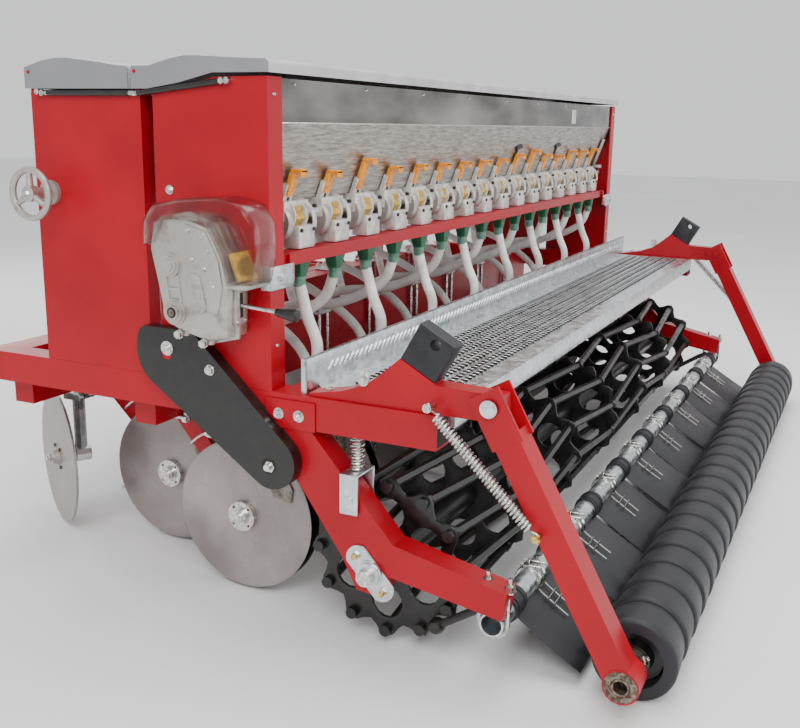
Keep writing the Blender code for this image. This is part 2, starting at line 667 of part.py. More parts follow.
def press_roller(steel, rubber):
    end = HOPPER_HALF + 0.002
    core = turned([(-end, 0), (-end, AXLE_STUB), (-PRESS_HALF - 0.012, AXLE_STUB), (-PRESS_HALF - 0.012, CORE_RADIUS),
                   (PRESS_HALF + 0.012, CORE_RADIUS), (PRESS_HALF + 0.012, AXLE_STUB), (end, AXLE_STUB), (end, 0)],
                  16, PRESS_Y, PRESS_RADIUS)
    node("press_roller_core", steel, [core], pivot=(0, PRESS_Y, PRESS_RADIUS), round_over=40)
    bore = CORE_RADIUS + 0.0008
    rings = turned([(-PRESS_HALF, bore), (-PRESS_HALF, PRESS_RADIUS), (PRESS_HALF, PRESS_RADIUS),
                    (PRESS_HALF, bore), (-PRESS_HALF, bore)], 32, PRESS_Y, PRESS_RADIUS)
    node("press_roller_rings", rubber, [rings], pivot=(0, PRESS_Y, PRESS_RADIUS), round_over=40)


BRACKET_BASE = FRAME_TOP + GAP


def press_brackets(paint):
    """The curved gusset and the hinge tube that lie on the rear of each side tube."""
    curve = [(-0.080, BRACKET_BASE + 0.006), (-0.150, BRACKET_BASE + 0.018), (-0.205, BRACKET_BASE + 0.038),
             (-0.245, BRACKET_BASE + 0.070), (-0.275, FRAME_TOP + 0.097)]
    outline = [(-0.080, BRACKET_BASE), *curve, (-0.345, FRAME_TOP + 0.058), (-0.345, HINGE_Z + 0.026),
               (HINGE_Y - 0.020, HINGE_Z + 0.022), (HINGE_Y - 0.024, HINGE_Z - 0.020), (HINGE_Y + 0.010, BRACKET_BASE)]

    def bracket():
        pin = rod((-ARM_X1 - 0.006, HINGE_Y, HINGE_Z), (-ARM_X0 + 0.006, HINGE_Y, HINGE_Z), 0.013, 12)
        return [slab(outline, -BRACKET_X1, -BRACKET_X0), pin]

    both_sides("press_arm_bracket", paint, bracket)


def rubber_buffers(paint):
    """Rubber blocks on the gussets' slanted ends, where a raised press arm comes to rest."""
    low, high = Vector((-0.345, FRAME_TOP + 0.058)), Vector((-0.275, FRAME_TOP + 0.097))
    along = (high - low).normalized()
    out = Vector((-along.y, along.x))
    start = low + out * GAP
    finish = high + out * GAP
    outline = [start, finish, finish + out * 0.080, start + out * 0.080]

    def block():
        return [slab([tuple(p) for p in outline], -BRACKET_X1, -BRACKET_X0)]

    both_sides("rubber_buffer", paint, block)


def press_roller_arms(paint):
    """Each arm straddles the hinge tube above and carries the roller's stub axle below."""
    pin, axle = Vector((HINGE_Y, HINGE_Z)), Vector((PRESS_Y, PRESS_RADIUS))
    along = (axle - pin).normalized()
    across = Vector((-along.y, along.x))
    fork = pin + along * 0.075

    def strip(start, end, half):
        corners = [start - across * half, start + across * half, end + across * half, end - across * half]
        return [tuple(p) for p in corners]

    def arm():
        cheeks = [slab(strip(pin - along * 0.030, fork, 0.032), *sides) for sides in
                  ((-ARM_X1, -ARM_X1 + 0.006), (-ARM_X0 - 0.006, -ARM_X0))]
        shank = slab(strip(fork - along * 0.018, axle + along * 0.020, 0.026), -ARM_X1 + 0.001, -ARM_X0 - 0.001)
        sleeve = rod((-ARM_X1, *axle), (-ARM_X0, *axle), 0.034, 16)
        return [shank, *cheeks, sleeve]

    for side, word in ((-1, "left"), (1, "right")):
        pieces = arm() if side < 0 else [mirrored(piece) for piece in arm()]
        bores = [rod((side * 1.350, *axle), (side * (HOPPER_HALF - 0.090), *axle), AXLE_STUB + 0.001, 16),
                 rod((side * 1.350, *pin), (side * (HOPPER_HALF - 0.090), *pin), 0.0135, 12)]
        node(f"press_roller_arm_{word}", paint, pieces, bores)


FLAP_TILT = 38


def flap_pipe(paint):
    """The cross pipe under the arms' ends with the rubber flaps that hang from it and the scraper rods."""
    (rear_y, rear_z), (front_y, front_z) = ARM_TAIL
    slope = (front_z - rear_z) / (front_y - rear_y)
    z = rear_z + slope * (PIPE_Y - rear_y) - (PIPE_RADIUS + GAP) * math.hypot(1, slope)
    half = HOPPER_HALF - 0.015
    pipe = rod((-half, PIPE_Y, z), (half, PIPE_Y, z), PIPE_RADIUS, 12)
    tilt = math.radians(FLAP_TILT)
    along = Vector((-math.cos(tilt), -math.sin(tilt)))
    across = Vector((-along.y, along.x))
    start = Vector((PIPE_Y, z)) + along * PIPE_RADIUS * 0.6
    length = 0.130
    corners = [start - across * 0.004, start + across * 0.004,
               start + along * length + across * 0.004, start + along * length - across * 0.004]
    pieces = [pipe]
    for row in range(ROWS // 2):
        x = row_x(2 * row) + ROW_PITCH / 2
        pieces.append(slab([tuple(p) for p in corners], x - 0.110, x + 0.110))
    node("flap_pipe", paint, pieces)


def press_springs(paint):
    """Tension springs that pull the press arms down."""
    def spring():
        x = -SPRING_X
        return [rod((x, -0.345, HINGE_Z - 0.010), (x, -0.560, 0.340), SPRING_RADIUS, 8),
                rod((x, -0.345, HINGE_Z - 0.010), (-BRACKET_X1 - GAP, -0.345, HINGE_Z - 0.010), 0.006, 8),
                rod((x, -0.560, 0.340), (-ARM_X1 - GAP, -0.560, 0.340), 0.006, 8)]

    both_sides("press_arm_spring", paint, spring)


# Footboard, drive and trim

BOARD = 0.004


def footboard(paint):
    base = FRAME_TOP + GAP
    half = HOPPER_HALF - 0.009
    narrow = BRACKET_X0 - 0.014
    pieces = [box(-half, half, -0.076 + 0.004, KICK_Y + 0.002, base, base + KICK_HEIGHT)]
    pieces.append(box(-narrow, narrow, FOOTBOARD_REAR, KICK_Y, base, base + BOARD))
    pieces.append(box(-narrow, narrow, FOOTBOARD_REAR, FOOTBOARD_REAR + BOARD, base - 0.040, base + BOARD / 2))
    node("footboard", paint, pieces)


def gearbox(paint):
    x1 = -HOPPER_HALF - GAP
    x0 = -HOPPER_HALF - GEARBOX_DEPTH
    outline = [(0.010, 0.650), (-0.004, 0.700), (-0.004, 0.860), (0.030, 0.900), (0.200, 0.900), (0.245, 0.860),
               (0.250, 0.690), (0.225, 0.640), (0.190, 0.612), (0.030, 0.612)]
    node("gearbox", paint, [slab(outline, x0, x1)])


def chain_case(paint):
    x1 = -HOPPER_HALF - GAP
    upper, lower = (0.223, 0.598 - 0.005), (-0.014, 0.394)
    top_radius, low_radius = 0.085, 0.055
    outline = [*arc(*upper, top_radius, -50, 130, 8), *arc(*lower, low_radius, 130, 310, 6)]
    cut = [box(x1 - 0.060, x1 + 0.1, -0.2, 0.4, 0.604, 0.8)]
    node("chain_case", paint, [slab(outline, x1 - 0.030, x1)], cut)


def handwheel(paint):
    y, z, radius = 0.556, 0.896, 0.062
    x = -HOPPER_HALF - 0.060
    rim = [(x + 0.009 * math.cos(a), radius + 0.009 * math.sin(a)) for a in (math.pi * k / 3 for k in range(6))]
    bm = turned([*rim, rim[0]], 16, y, z)
    pieces = [bm, rod((x - 0.008, y, z), (-HOPPER_HALF - GAP, y, z), 0.011, 10)]
    for k in range(3):
        angle = math.radians(90 + 120 * k)
        end = (x, y + radius * math.cos(angle), z + radius * math.sin(angle))
        pieces.append(rod((x, y, z), end, 0.006, 6))
    node("handwheel", paint, pieces, round_over=50)


# Edge discs

EDGE_X = 1.034
EDGE_Y = 0.840
EDGE_TURN = 32


def edge_disc_parts(steel, bracket):
    """A disc on each front corner, turned from the direction of travel, and the arm that holds it."""
    turn = math.radians(EDGE_TURN)
    for side, word in ((-1, "left"), (1, "right")):
        hub = Vector((side * EDGE_X, EDGE_Y, HUB_Z))
        spin = Matrix.Translation(hub) @ Matrix.Rotation(side * turn, 4, "Z")
        profile = [(-0.016, 0), (-0.016, 0.018), (-0.003, 0.024), (-0.003, DISC_RADIUS), (0.003, DISC_RADIUS),
                   (0.003, 0.032), (0.040, 0.026), (0.040, 0)]
        disc = turned(profile if side < 0 else [(-x, r) for x, r in profile[::-1]], 24)
        bmesh.ops.transform(disc, matrix=spin, verts=disc.verts)
        node(f"edge_disc_{word}", steel, [disc], pivot=tuple(hub), round_over=40)
        inward = Vector((-side * math.cos(turn), -math.sin(turn), 0))
        low = hub + inward * 0.058
        knee = Vector((low.x, low.y, 0.330))
        top = Vector((low.x, TOOLBAR_FRONT + 0.030, FRAME_TOP + 0.004))
        pieces = [rod(hub + inward * (0.040 + 0.0005), hub + inward * 0.080, 0.022, 10)]
        pieces.append(rod(low - Vector((0, 0, 0.010)), knee, 0.016, 8))
        pieces.append(rod(knee - Vector((0, 0, 0.008)), top, 0.016, 8))
        pieces.append(box(low.x - 0.035, low.x + 0.035, TOOLBAR_FRONT - BEAM_INSET + GAP, TOOLBAR_FRONT + 0.045,
                          FRAME_BOTTOM - 0.004, FRAME_TOP + 0.010))
        node(f"edge_disc_arm_{word}", bracket, pieces)


def main():
    clear_scene()
    root = bpy.data.objects.new("drill_root", None)
    root.location = (ORIGIN_X, ORIGIN_Y, 0)
    bpy.context.scene.collection.objects.link(root)
    red = material("red_paint", (0.62, 0.012, 0.035), 0.35)
    grey = material("grey_paint", (0.33, 0.33, 0.35), 0.45)
    stainless = material("stainless_sheet", (0.62, 0.61, 0.58), 0.25, 1.0)
    zinc = material("galvanised_sheet", (0.55, 0.57, 0.59), 0.4, 1.0)
    cast = material("cast_aluminium", (0.42, 0.40, 0.37), 0.5, 0.9)
    black = material("black_paint", (0.012, 0.012, 0.014), 0.4)
    rubber = material("black_rubber", (0.02, 0.02, 0.02), 0.7)
    hose_white = material("white_hose", (0.75, 0.75, 0.74), 0.4)
    disc_steel = material("disc_steel", (0.32, 0.29, 0.28), 0.45, 0.9)
    main_frame(red)
    front_beams(red)
    parking_stands(red)
    headstock(red)
    end_panels(red)
    hoppers(stainless)
    lids(grey)
    metering_units(cast)
    metering_rails(red)
    seed_tubes(hose_white)
    fertiliser_tubes(hose_white)
    opener_rows(red)
    opener_discs(disc_steel)
    cage_roller(black)
    cage_roller_arms(red)
    press_roller(zinc, rubber)
    press_brackets(red)
    rubber_buffers(rubber)
    press_roller_arms(red)
    flap_pipe(zinc)
    press_springs(zinc)
    footboard(zinc)
    gearbox(cast)
    chain_case(black)
    handwheel(cast)
    edge_disc_parts(disc_steel, zinc)


main()
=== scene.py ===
"""Finished look of a mounted seed drill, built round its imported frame.

The frame's CAD parts keep their places. Each operator below paints some of them, or builds the pieces that
stand for them or lie on them. Pieces are drawn in the drill's own frame: x = 0 at mid width, y = 0 at the
seed hopper's rear flange, z = 0 on the floor. `piece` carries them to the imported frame.
"""

import math

import bmesh
import bpy
from bpy.props import FloatProperty, FloatVectorProperty, IntProperty, PointerProperty
from mathutils import Matrix, Vector


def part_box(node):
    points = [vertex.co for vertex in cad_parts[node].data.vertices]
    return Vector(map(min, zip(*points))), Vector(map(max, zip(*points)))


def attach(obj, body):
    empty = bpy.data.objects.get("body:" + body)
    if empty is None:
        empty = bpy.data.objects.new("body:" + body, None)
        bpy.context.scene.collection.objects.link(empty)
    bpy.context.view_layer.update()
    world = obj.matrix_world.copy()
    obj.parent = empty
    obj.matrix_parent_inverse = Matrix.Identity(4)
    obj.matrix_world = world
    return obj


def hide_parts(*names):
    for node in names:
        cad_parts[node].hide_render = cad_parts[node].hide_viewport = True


bl_info = {
    "name": "Seed drill finish",
    "version": (1, 0, 0),
    "blender": (4, 5, 0),
    "location": "View3D > Sidebar > Seed drill",
    "description": "Builds and paints the visible pieces of a mounted seed drill",
    "category": "Object",
}

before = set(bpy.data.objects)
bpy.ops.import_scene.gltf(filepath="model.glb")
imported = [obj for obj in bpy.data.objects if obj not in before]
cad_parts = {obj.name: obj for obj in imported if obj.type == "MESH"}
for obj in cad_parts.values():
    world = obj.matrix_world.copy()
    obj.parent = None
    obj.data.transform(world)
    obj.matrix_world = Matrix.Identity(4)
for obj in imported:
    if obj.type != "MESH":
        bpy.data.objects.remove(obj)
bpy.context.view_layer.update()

# The drill's own frame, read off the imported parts
PANEL_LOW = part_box("seed_hopper_end_left")[0]
PANEL_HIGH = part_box("seed_hopper_end_right")[1]
HALF = (PANEL_HIGH.x - PANEL_LOW.x) / 2
ORIGIN = Vector(((PANEL_HIGH.x + PANEL_LOW.x) / 2, PANEL_LOW.y, 0))
FRAME_LOW, FRAME_HIGH = (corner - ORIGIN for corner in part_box("main_frame"))
ROWS = 16
PITCH = 0.150
ROOT = "drill_body"
CAGE_Y, CAGE_Z = -0.220, 0.190  # the cage roller's axis
PIPE_Y, PIPE_Z = -0.470, 0.1336  # the flap pipe's axis
PIPE_RADIUS = 0.024
EDGE_HUB_X, EDGE_HUB_Y = 1.034, 0.840  # the edge discs' hubs
EDGE_DISC_TURN = math.radians(32)
LOWER_LINK_X, LOWER_LINK_Z = 0.400, 0.480
TOP_LINK_Z = 1.000
STAND_X = 0.700


def row_x(row):
    return (row - (ROWS - 1) / 2) * PITCH


def local_box(name):
    """A CAD part's lowest and highest corner, in the drill's own frame."""
    low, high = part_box(name)
    return low - ORIGIN, high - ORIGIN


# Shapes: each adds to a bmesh in the drill's own frame and paints its faces with one of the piece's finishes


def settle(verts, paint, smooth):
    for face in {face for vert in verts for face in vert.link_faces}:
        face.material_index = paint
        face.smooth = smooth


def add_block(bm, low, high, paint=0, bevel=0.0):
    """A box between two corners, its edges rounded if asked."""
    low, high = Vector(low), Vector(high)
    size = [abs(b - a) for a, b in zip(low, high)]
    made = bmesh.ops.create_cube(bm, size=1.0)["verts"]
    bmesh.ops.scale(bm, vec=size, verts=made)
    if bevel:
        edges = list({edge for vert in made for edge in vert.link_edges})
        faces = bmesh.ops.bevel(bm, geom=edges, offset=bevel, offset_type="OFFSET", segments=2,
                                profile=0.5, affect="EDGES", clamp_overlap=True, material=-1)["faces"]
        made = list({vert for face in faces for vert in face.verts})
    bmesh.ops.translate(bm, vec=(low + high) / 2, verts=made)
    settle(made, paint, False)
    return made


def facing(direction):
    """The turn that carries +Z to a direction."""
    return Vector((0, 0, 1)).rotation_difference(Vector(direction)).to_matrix().to_4x4()


def add_bar(bm, start, end, radius, paint=0, sides=14, end_radius=None):
    """A round bar, or a cone, between two points."""
    start, end = Vector(start), Vector(end)
    place = Matrix.Translation((start + end) / 2) @ facing(end - start)
    made = bmesh.ops.create_cone(bm, cap_ends=True, segments=sides, radius1=radius,
                                 radius2=radius if end_radius is None else end_radius,
                                 depth=(end - start).length, matrix=place)["verts"]
    settle(made, paint, sides > 8)
    return made


def joined_to(vert):
    """All the vertices of the shape that a vertex belongs to."""
    found, waiting = {vert}, [vert]
    while waiting:
        here = waiting.pop()
        for edge in here.link_edges:
            other = edge.other_vert(here)
            if other not in found:
                found.add(other)
                waiting.append(other)
    return list(found)


def add_turned(bm, profile, centre, axis=(1, 0, 0), paint=0, sides=24):
    """A profile of (distance along the axis, radius) turned about the axis through the centre."""
    verts = [bm.verts.new((radius, 0, along)) for along, radius in profile]
    edges = [bm.edges.new(pair) for pair in zip(verts, verts[1:])]
    bmesh.ops.spin(bm, geom=verts + edges, cent=(0, 0, 0), axis=(0, 0, 1), angle=2 * math.pi, steps=sides,
                   use_merge=True)
    made = joined_to(verts[len(verts) // 2])
    bmesh.ops.transform(bm, matrix=Matrix.Translation(centre) @ facing(axis), verts=made)
    bmesh.ops.remove_doubles(bm, verts=made, dist=1e-6)
    made = [vert for vert in made if vert.is_valid]
    settle(made, paint, True)
    return made


def in_plane(axis, a, b, depth):
    """A point from its two places in the plane across an axis and its place along the axis."""
    return ((depth, a, b), (a, depth, b), (a, b, depth))[axis]


def add_plate(bm, outline, low, high, paint=0, holes=(), bevel=0.0, axis=0):
    """A flat plate across an axis, from low to high along it: (y, z), (x, z) or (x, y) outline and holes."""
    edges = []
    for loop in (outline, *holes):
        verts = [bm.verts.new(in_plane(axis, a, b, low)) for a, b in loop]
        edges += [bm.edges.new(pair) for pair in zip(verts, verts[1:] + verts[:1])]
    if holes:
        filled = bmesh.ops.triangle_fill(bm, edges=edges, use_beauty=True, use_dissolve=False)["geom"]
    else:
        filled = bmesh.ops.contextual_create(bm, geom=edges)["faces"]
    faces = [item for item in filled if isinstance(item, bmesh.types.BMFace)]
    moved = bmesh.ops.extrude_face_region(bm, geom=faces, use_keep_orig=True)["geom"]
    top = [item for item in moved if isinstance(item, bmesh.types.BMVert)]
    bmesh.ops.translate(bm, vec=in_plane(axis, 0, 0, high - low), verts=top)
    made = joined_to(top[0])
    if bevel:
        rim = [edge for edge in {edge for vert in made for edge in vert.link_edges}
               if abs(edge.verts[0].co[axis] - edge.verts[1].co[axis]) < 1e-6
               and edge.calc_face_angle(0) > 1.2]
        faces = bmesh.ops.bevel(bm, geom=rim, offset=bevel, segments=2, profile=0.5, affect="EDGES",
                                clamp_overlap=True, material=-1)["faces"]
        made = joined_to(faces[0].verts[0])
    settle(made, paint, False)
    return made


def add_sweep(bm, points, radius, paint=0, sides=8):
    """A round rod drawn along a line of points."""
    points = [Vector(p) for p in points]
    heading = (points[1] - points[0]).normalized()
    ring = bmesh.ops.create_circle(bm, cap_ends=True, segments=sides, radius=radius,
                                   matrix=Matrix.Translation(points[0]) @ facing(heading))["verts"]
    made = list(ring)
    edges = list({edge for vert in ring for edge in vert.link_edges if edge.other_vert(vert) in ring})
    for i, point in enumerate(points[1:], 1):
        ahead = points[i + 1] - point if i + 1 < len(points) else point - points[i - 1]
        middle = ((point - points[i - 1]).normalized() + ahead.normalized()).normalized()
        turn = heading.rotation_difference(middle).to_matrix().to_4x4()
        new = bmesh.ops.extrude_edge_only(bm, edges=edges)["geom"]
        verts = [item for item in new if isinstance(item, bmesh.types.BMVert)]
        edges = [item for item in new if isinstance(item, bmesh.types.BMEdge)]
        move = Matrix.Translation(point) @ turn @ Matrix.Translation(-points[i - 1])
        bmesh.ops.transform(bm, matrix=move, verts=verts)
        made += verts
        heading = middle
    bmesh.ops.contextual_create(bm, geom=edges)
    settle(made, paint, True)
    return made


def add_bolt(bm, point, direction, size, paint=0, washer=0):
    """A hexagon head on a washer; size is across the flats."""
    point, direction = Vector(point), Vector(direction).normalized()
    add_bar(bm, point - direction * 0.001, point + direction * size * 0.12, size * 0.85, washer, 16)
    add_bar(bm, point + direction * size * 0.10, point + direction * size * 0.62, size * 0.56, paint, 6)
    add_bar(bm, point + direction * size * 0.60, point + direction * size * 0.85, size * 0.28, paint, 10)


def smooth_line(points, steps):
    """Points on a Catmull-Rom curve through the given points."""
    points = [Vector(p) for p in points]
    points = [2 * points[0] - points[1], *points, 2 * points[-1] - points[-2]]
    line = []
    for a, b, c, d in zip(points, points[1:], points[2:], points[3:]):
        for step in range(steps):
            t = step / steps
            line.append(0.5 * (2 * b + (c - a) * t + (2 * a - 5 * b + 4 * c - d) * t * t
                               + (3 * b - a - 3 * c + d) * t ** 3))
    return line + [points[-2]]


def arc(y, z, radius, first, last, steps):
    """(y, z) points on a circle, in degrees from +Y towards +Z."""
    angles = [math.radians(first + (last - first) * i / steps) for i in range(steps + 1)]
    return [(y + radius * math.cos(a), z + radius * math.sin(a)) for a in angles]


def circle(a, b, radius, steps=16):
    """A round hole or outline about a point."""
    return arc(a, b, radius, 0, 360, steps)[:-1]


def slot_hole(a, b, half, radius):
    """A long hole with round ends, upright."""
    return arc(a, b + half, radius, 0, 180, 5) + arc(a, b - half, radius, 180, 360, 5)


def lay_copies(bm, build, places):
    """Builds a shape once and lays a copy of it at each place."""
    one = bmesh.new()
    build(one)
    mesh = bpy.data.meshes.new("one")
    one.to_mesh(mesh)
    one.free()
    for place in places:
        first = len(bm.verts)
        bm.from_mesh(mesh)
        bm.verts.ensure_lookup_table()
        bmesh.ops.transform(bm, matrix=place, verts=bm.verts[first:])
    bpy.data.meshes.remove(mesh)


BOTH_ENDS = (Matrix.Identity(4), Matrix.Scale(-1, 4, (1, 0, 0)))


def shifts(*places):
    """Places as matrices, each a distance from the origin."""
    return [Matrix.Translation(place) for place in places]


def piece(name, bm, finishes, body=ROOT, stands_for=(), slot=None, sharp=35):
    """Makes a bmesh a finished piece that moves with a body."""
    bmesh.ops.recalc_face_normals(bm, faces=bm.faces)
    bmesh.ops.translate(bm, vec=ORIGIN, verts=bm.verts)
    mesh = bpy.data.meshes.new(name)
    bm.to_mesh(mesh)
    bm.free()
    mesh.set_sharp_from_angle(angle=math.radians(sharp))
    for finish in finishes:
        mesh.materials.append(material(finish))
    made = bpy.data.objects.new(name, mesh)
    bpy.context.scene.collection.objects.link(made)
    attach(made, body)
    if stands_for:
        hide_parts(*stands_for)
    return made


def piece_of_copies(name, build, places, finishes, **marks):
    """A piece that is made of copies of one shape."""
    bm = bmesh.new()
    lay_copies(bm, build, places)
    return piece(name, bm, finishes, **marks)


def paint_part(finish, *names):
    """Gives CAD parts a finish in place of their plain colour."""
    for name in names:
        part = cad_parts[name]
        part.data.materials.clear()
        part.data.materials.append(material(finish))


# Finishes


def linear(hex_colour):
    """A sRGB hex colour as linear RGB."""
    values = [int(hex_colour[i:i + 2], 16) / 255 for i in (1, 3, 5)]
    return tuple(v / 12.92 if v <= 0.04045 else ((v + 0.055) / 1.055) ** 2.4 for v in values)


def add(tree, kind, inputs=None, **settings):
    """Adds a node with its settings, and sets or links its inputs."""
    made = tree.nodes.new("ShaderNode" + kind)
    for name, value in settings.items():
        setattr(made, name, value)
    for key, value in (inputs or {}).items():
        if isinstance(value, bpy.types.NodeSocket):
            tree.links.new(value, made.inputs[key])
        else:
            made.inputs[key].default_value = value
    return made


def blank(name, **shader):
    """A new material with its tree, its shader and its object coordinates."""
    made = bpy.data.materials.new(name)
    made.use_nodes = True
    tree = made.node_tree
    surface = tree.nodes["Principled BSDF"]
    for key, value in shader.items():
        surface.inputs[key.replace("_", " ")].default_value = value
    where = add(tree, "TexCoord").outputs["Object"]
    return tree, surface, where


def per_mm(size):
    """A pattern scale whose features are about size millimetres."""
    return 1000 / size


EVEN = (1, 1, 1)


def noise(tree, where, size_mm, detail=3.0, stretch=EVEN, roughness=0.5):
    mapped = add(tree, "Mapping", {"Vector": where, "Scale": stretch})
    made = add(tree, "TexNoise", {"Vector": mapped.outputs["Vector"], "Scale": per_mm(size_mm),
                                  "Detail": detail, "Roughness": roughness})
    return made.outputs["Fac"]


def between(tree, factor, low, high, start=0.0, end=1.0):
    """A colour that goes from low to high as the factor goes from start to end."""
    ramp = add(tree, "ValToRGB", {"Fac": factor})
    ramp.color_ramp.elements[0].position = start
    ramp.color_ramp.elements[0].color = (*low, 1)
    ramp.color_ramp.elements[1].position = end
    ramp.color_ramp.elements[1].color = (*high, 1)
    return ramp.outputs["Color"]


def ranged(tree, factor, low, high, start=0.0, end=1.0):
    """A number that goes from low to high as the factor goes from start to end."""
    return add(tree, "MapRange", {"Value": factor, "From Min": start, "From Max": end, "To Min": low,
                                  "To Max": high}).outputs["Result"]


def mixed(tree, factor, low, high):
    """Two colours mixed by a factor."""
    made = add(tree, "Mix", data_type="RGBA")
    tree.links.new(factor, made.inputs["Factor"])
    for key, value in ((6, low), (7, high)):
        if isinstance(value, bpy.types.NodeSocket):
            tree.links.new(value, made.inputs[key])
        else:
            made.inputs[key].default_value = (*value, 1)
    return made.outputs[2]


def bump(tree, surface, height, depth_mm, strength=1.0):
    made = add(tree, "Bump", {"Height": height, "Distance": depth_mm / 1000, "Strength": strength})
    tree.links.new(made.outputs["Normal"], surface.inputs["Normal"])


def join(tree, surface, **links):
    for key, value in links.items():
        tree.links.new(value, surface.inputs[key.replace("_", " ")])


def cloudy(name, low, high, cloud, spread, gloss=None, grain=None, **shader):
    """A finish whose colour drifts between two tones in clouds of (size in mm, detail, stretch, roughness).

    gloss is its roughness where the clouds are thin and thick, and grain is the (size in mm, detail,
    depth in mm, strength) of its bumps.
    """
    tree, surface, where = blank(name, **shader)
    clouds = noise(tree, where, *cloud)
    join(tree, surface, Base_Color=between(tree, clouds, linear(low), linear(high), *spread))
    if gloss:
        join(tree, surface, Roughness=ranged(tree, clouds, *gloss))
    if grain:
        size, detail, depth, strength = grain
        bump(tree, surface, noise(tree, where, size, detail), depth, strength)
    return tree, surface, where, clouds


def red_powder_coat(name):
    """Polyester powder coat on steel: a glossy film with a faint orange peel, and dust in its haze."""
    look = bpy.context.scene.drill_colours
    tree, surface, where = blank(name, Specular_IOR_Level=0.3)
    haze = noise(tree, where, 240, 5)
    colour = between(tree, haze, [c * 0.82 for c in look.paint], look.paint, 0.35, 0.6)
    dust = noise(tree, where, 9, 6, roughness=0.7)
    spots = between(tree, dust, linear("#000000"), linear("#ffffff"), 0.68, 0.76)
    join(tree, surface, Base_Color=mixed(tree, ranged(tree, spots, 0.0, 0.14), colour, linear("#a5544c")),
         Roughness=ranged(tree, haze, 0.26, 0.42, 0.3, 0.7))
    bump(tree, surface, noise(tree, where, 3.0, 2), 0.03, 0.5)


def grey_powder_coat(name):
    """Satin powder coat on the lids' folded sheet: soft sheen with slight blotches from handling."""
    look = bpy.context.scene.drill_colours
    tree, surface, where = blank(name, Roughness=0.4)
    cloud = noise(tree, where, 150, 4)
    join(tree, surface, Base_Color=between(tree, cloud, [c * 0.88 for c in look.lid], look.lid, 0.3, 0.7),
         Roughness=ranged(tree, noise(tree, where, 30, 4), 0.34, 0.52))
    bump(tree, surface, noise(tree, where, 2.5, 2), 0.02, 0.4)


def pale_powder_coat(name):
    """Light grey powder coat on the lids' rolled rear edge: a chalky film that picks up dust."""
    tree, surface, where, _ = cloudy(name, "#a6a5a8", "#c6c5c8", (130, 4), (0.3, 0.7), None,
                                     (2.5, 2, 0.02, 0.4), Roughness=0.38)
    join(tree, surface, Roughness=ranged(tree, noise(tree, where, 30, 4), 0.32, 0.5))


def hopper_stainless(name):
    """Rolled stainless sheet: a mirror band at the top, and below its fold a sheet that rippled in bending.
    Its colour holds painted reflections: broad dark and light clouds on the band, and fine dark and light
    streaks below the fold."""
    tree, surface, where = blank(name, Metallic=1.0)
    height = add(tree, "SeparateXYZ", {"Vector": where}).outputs["Z"]
    below = ranged(tree, height, 1.0, 0.0, 1.044, 1.049)
    # painted reflection: the mirror band's colour drifts between dark and light clouds
    painted_reflection_clouds = noise(tree, where, 210, 3, (0.55, 1, 1.6))
    painted_mirror_reflection = between(tree, painted_reflection_clouds, linear("#55524f"), linear("#a9a6a0"), 0.36, 0.68)
    # painted reflection: fine dark and light streaks in the colour of the sheet below the fold
    painted_streak_mask = noise(tree, where, 16, 6, (0.35, 1, 3.4), 0.65)
    painted_streak_reflection = between(tree, painted_streak_mask, linear("#77706a"), linear("#cfcbc3"), 0.3, 0.7)
    join(tree, surface, Base_Color=mixed(tree, below, painted_mirror_reflection, painted_streak_reflection),
         Roughness=ranged(tree, below, 0.07, 0.42))
    waves = add(tree, "Math", {0: noise(tree, where, 22, 3, (1, 1, 2.5)), 1: below}, operation="MULTIPLY")
    bump(tree, surface, waves.outputs["Value"], 0.9, 0.5)


def galvanised(name):
    """Hot-dip zinc on steel: crystals of a few millimetres that each reflect a little differently."""
    tree, surface, where = blank(name, Metallic=1.0)
    crystals = add(tree, "TexVoronoi", {"Vector": where, "Scale": per_mm(14)})
    grey = add(tree, "SeparateXYZ", {"Vector": crystals.outputs["Color"]}).outputs["X"]
    spangle = between(tree, grey, linear("#c2c7ca"), linear("#e6e9eb"))
    cloud = noise(tree, where, 70, 4)
    join(tree, surface,
         Base_Color=mixed(tree, ranged(tree, cloud, 0.0, 0.25, 0.4, 0.75), spangle, linear("#9aa0a2")),
         Roughness=ranged(tree, grey, 0.26, 0.42))
    bump(tree, surface, noise(tree, where, 6, 3), 0.05, 0.35)


def bright_zinc(name):
    """Electroplated fasteners and springs: thin bright zinc with a few dull spots."""
    cloudy(name, "#adaca8", "#e0e0dc", (7, 5), (0.34, 0.6), (0.34, 0.2, 0.35, 0.6), (2, 2, 0.03, 0.3),
           Metallic=1.0)


def yellow_zinc(name):
    """Yellow chromate on small screws: a brassy film that shifts in tone."""
    cloudy(name, "#a47f36", "#dcc27a", (5, 3), (0.35, 0.65), Metallic=1.0, Roughness=0.3)


def die_cast_housing(name):
    """Sand-blasted die casting: matt grain with grime that settles in patches."""
    tree, surface, where = blank(name, Metallic=0.8)
    grime = noise(tree, where, 42, 6, roughness=0.6)
    clean = between(tree, noise(tree, where, 3, 3), linear("#a9a49d"), linear("#c4c0ba"))
    join(tree, surface,
         Base_Color=mixed(tree, ranged(tree, grime, 0.0, 0.7, 0.52, 0.75), clean, linear("#6d635a")),
         Roughness=ranged(tree, grime, 0.42, 0.62, 0.4, 0.7))
    bump(tree, surface, noise(tree, where, 1.6, 3), 0.08, 0.6)


def bright_casting(name):
    """Die-cast metering housings: a clean pale skin straight from the mould."""
    cloudy(name, "#b9b4ae", "#e2dfda", (20, 4), (0.3, 0.65), (0.3, 0.45), (2.2, 3, 0.05, 0.5), Metallic=0.45)


def black_enamel(name):
    """Semi-gloss black paint on welded steel, greyed by dust."""
    cloudy(name, "#0b0b0c", "#26241f", (34, 6, EVEN, 0.65), (0.45, 0.8), (0.28, 0.55, 0.4, 0.75),
           (4, 3, 0.06, 0.5), Coat_Weight=0.15, Coat_Roughness=0.25)


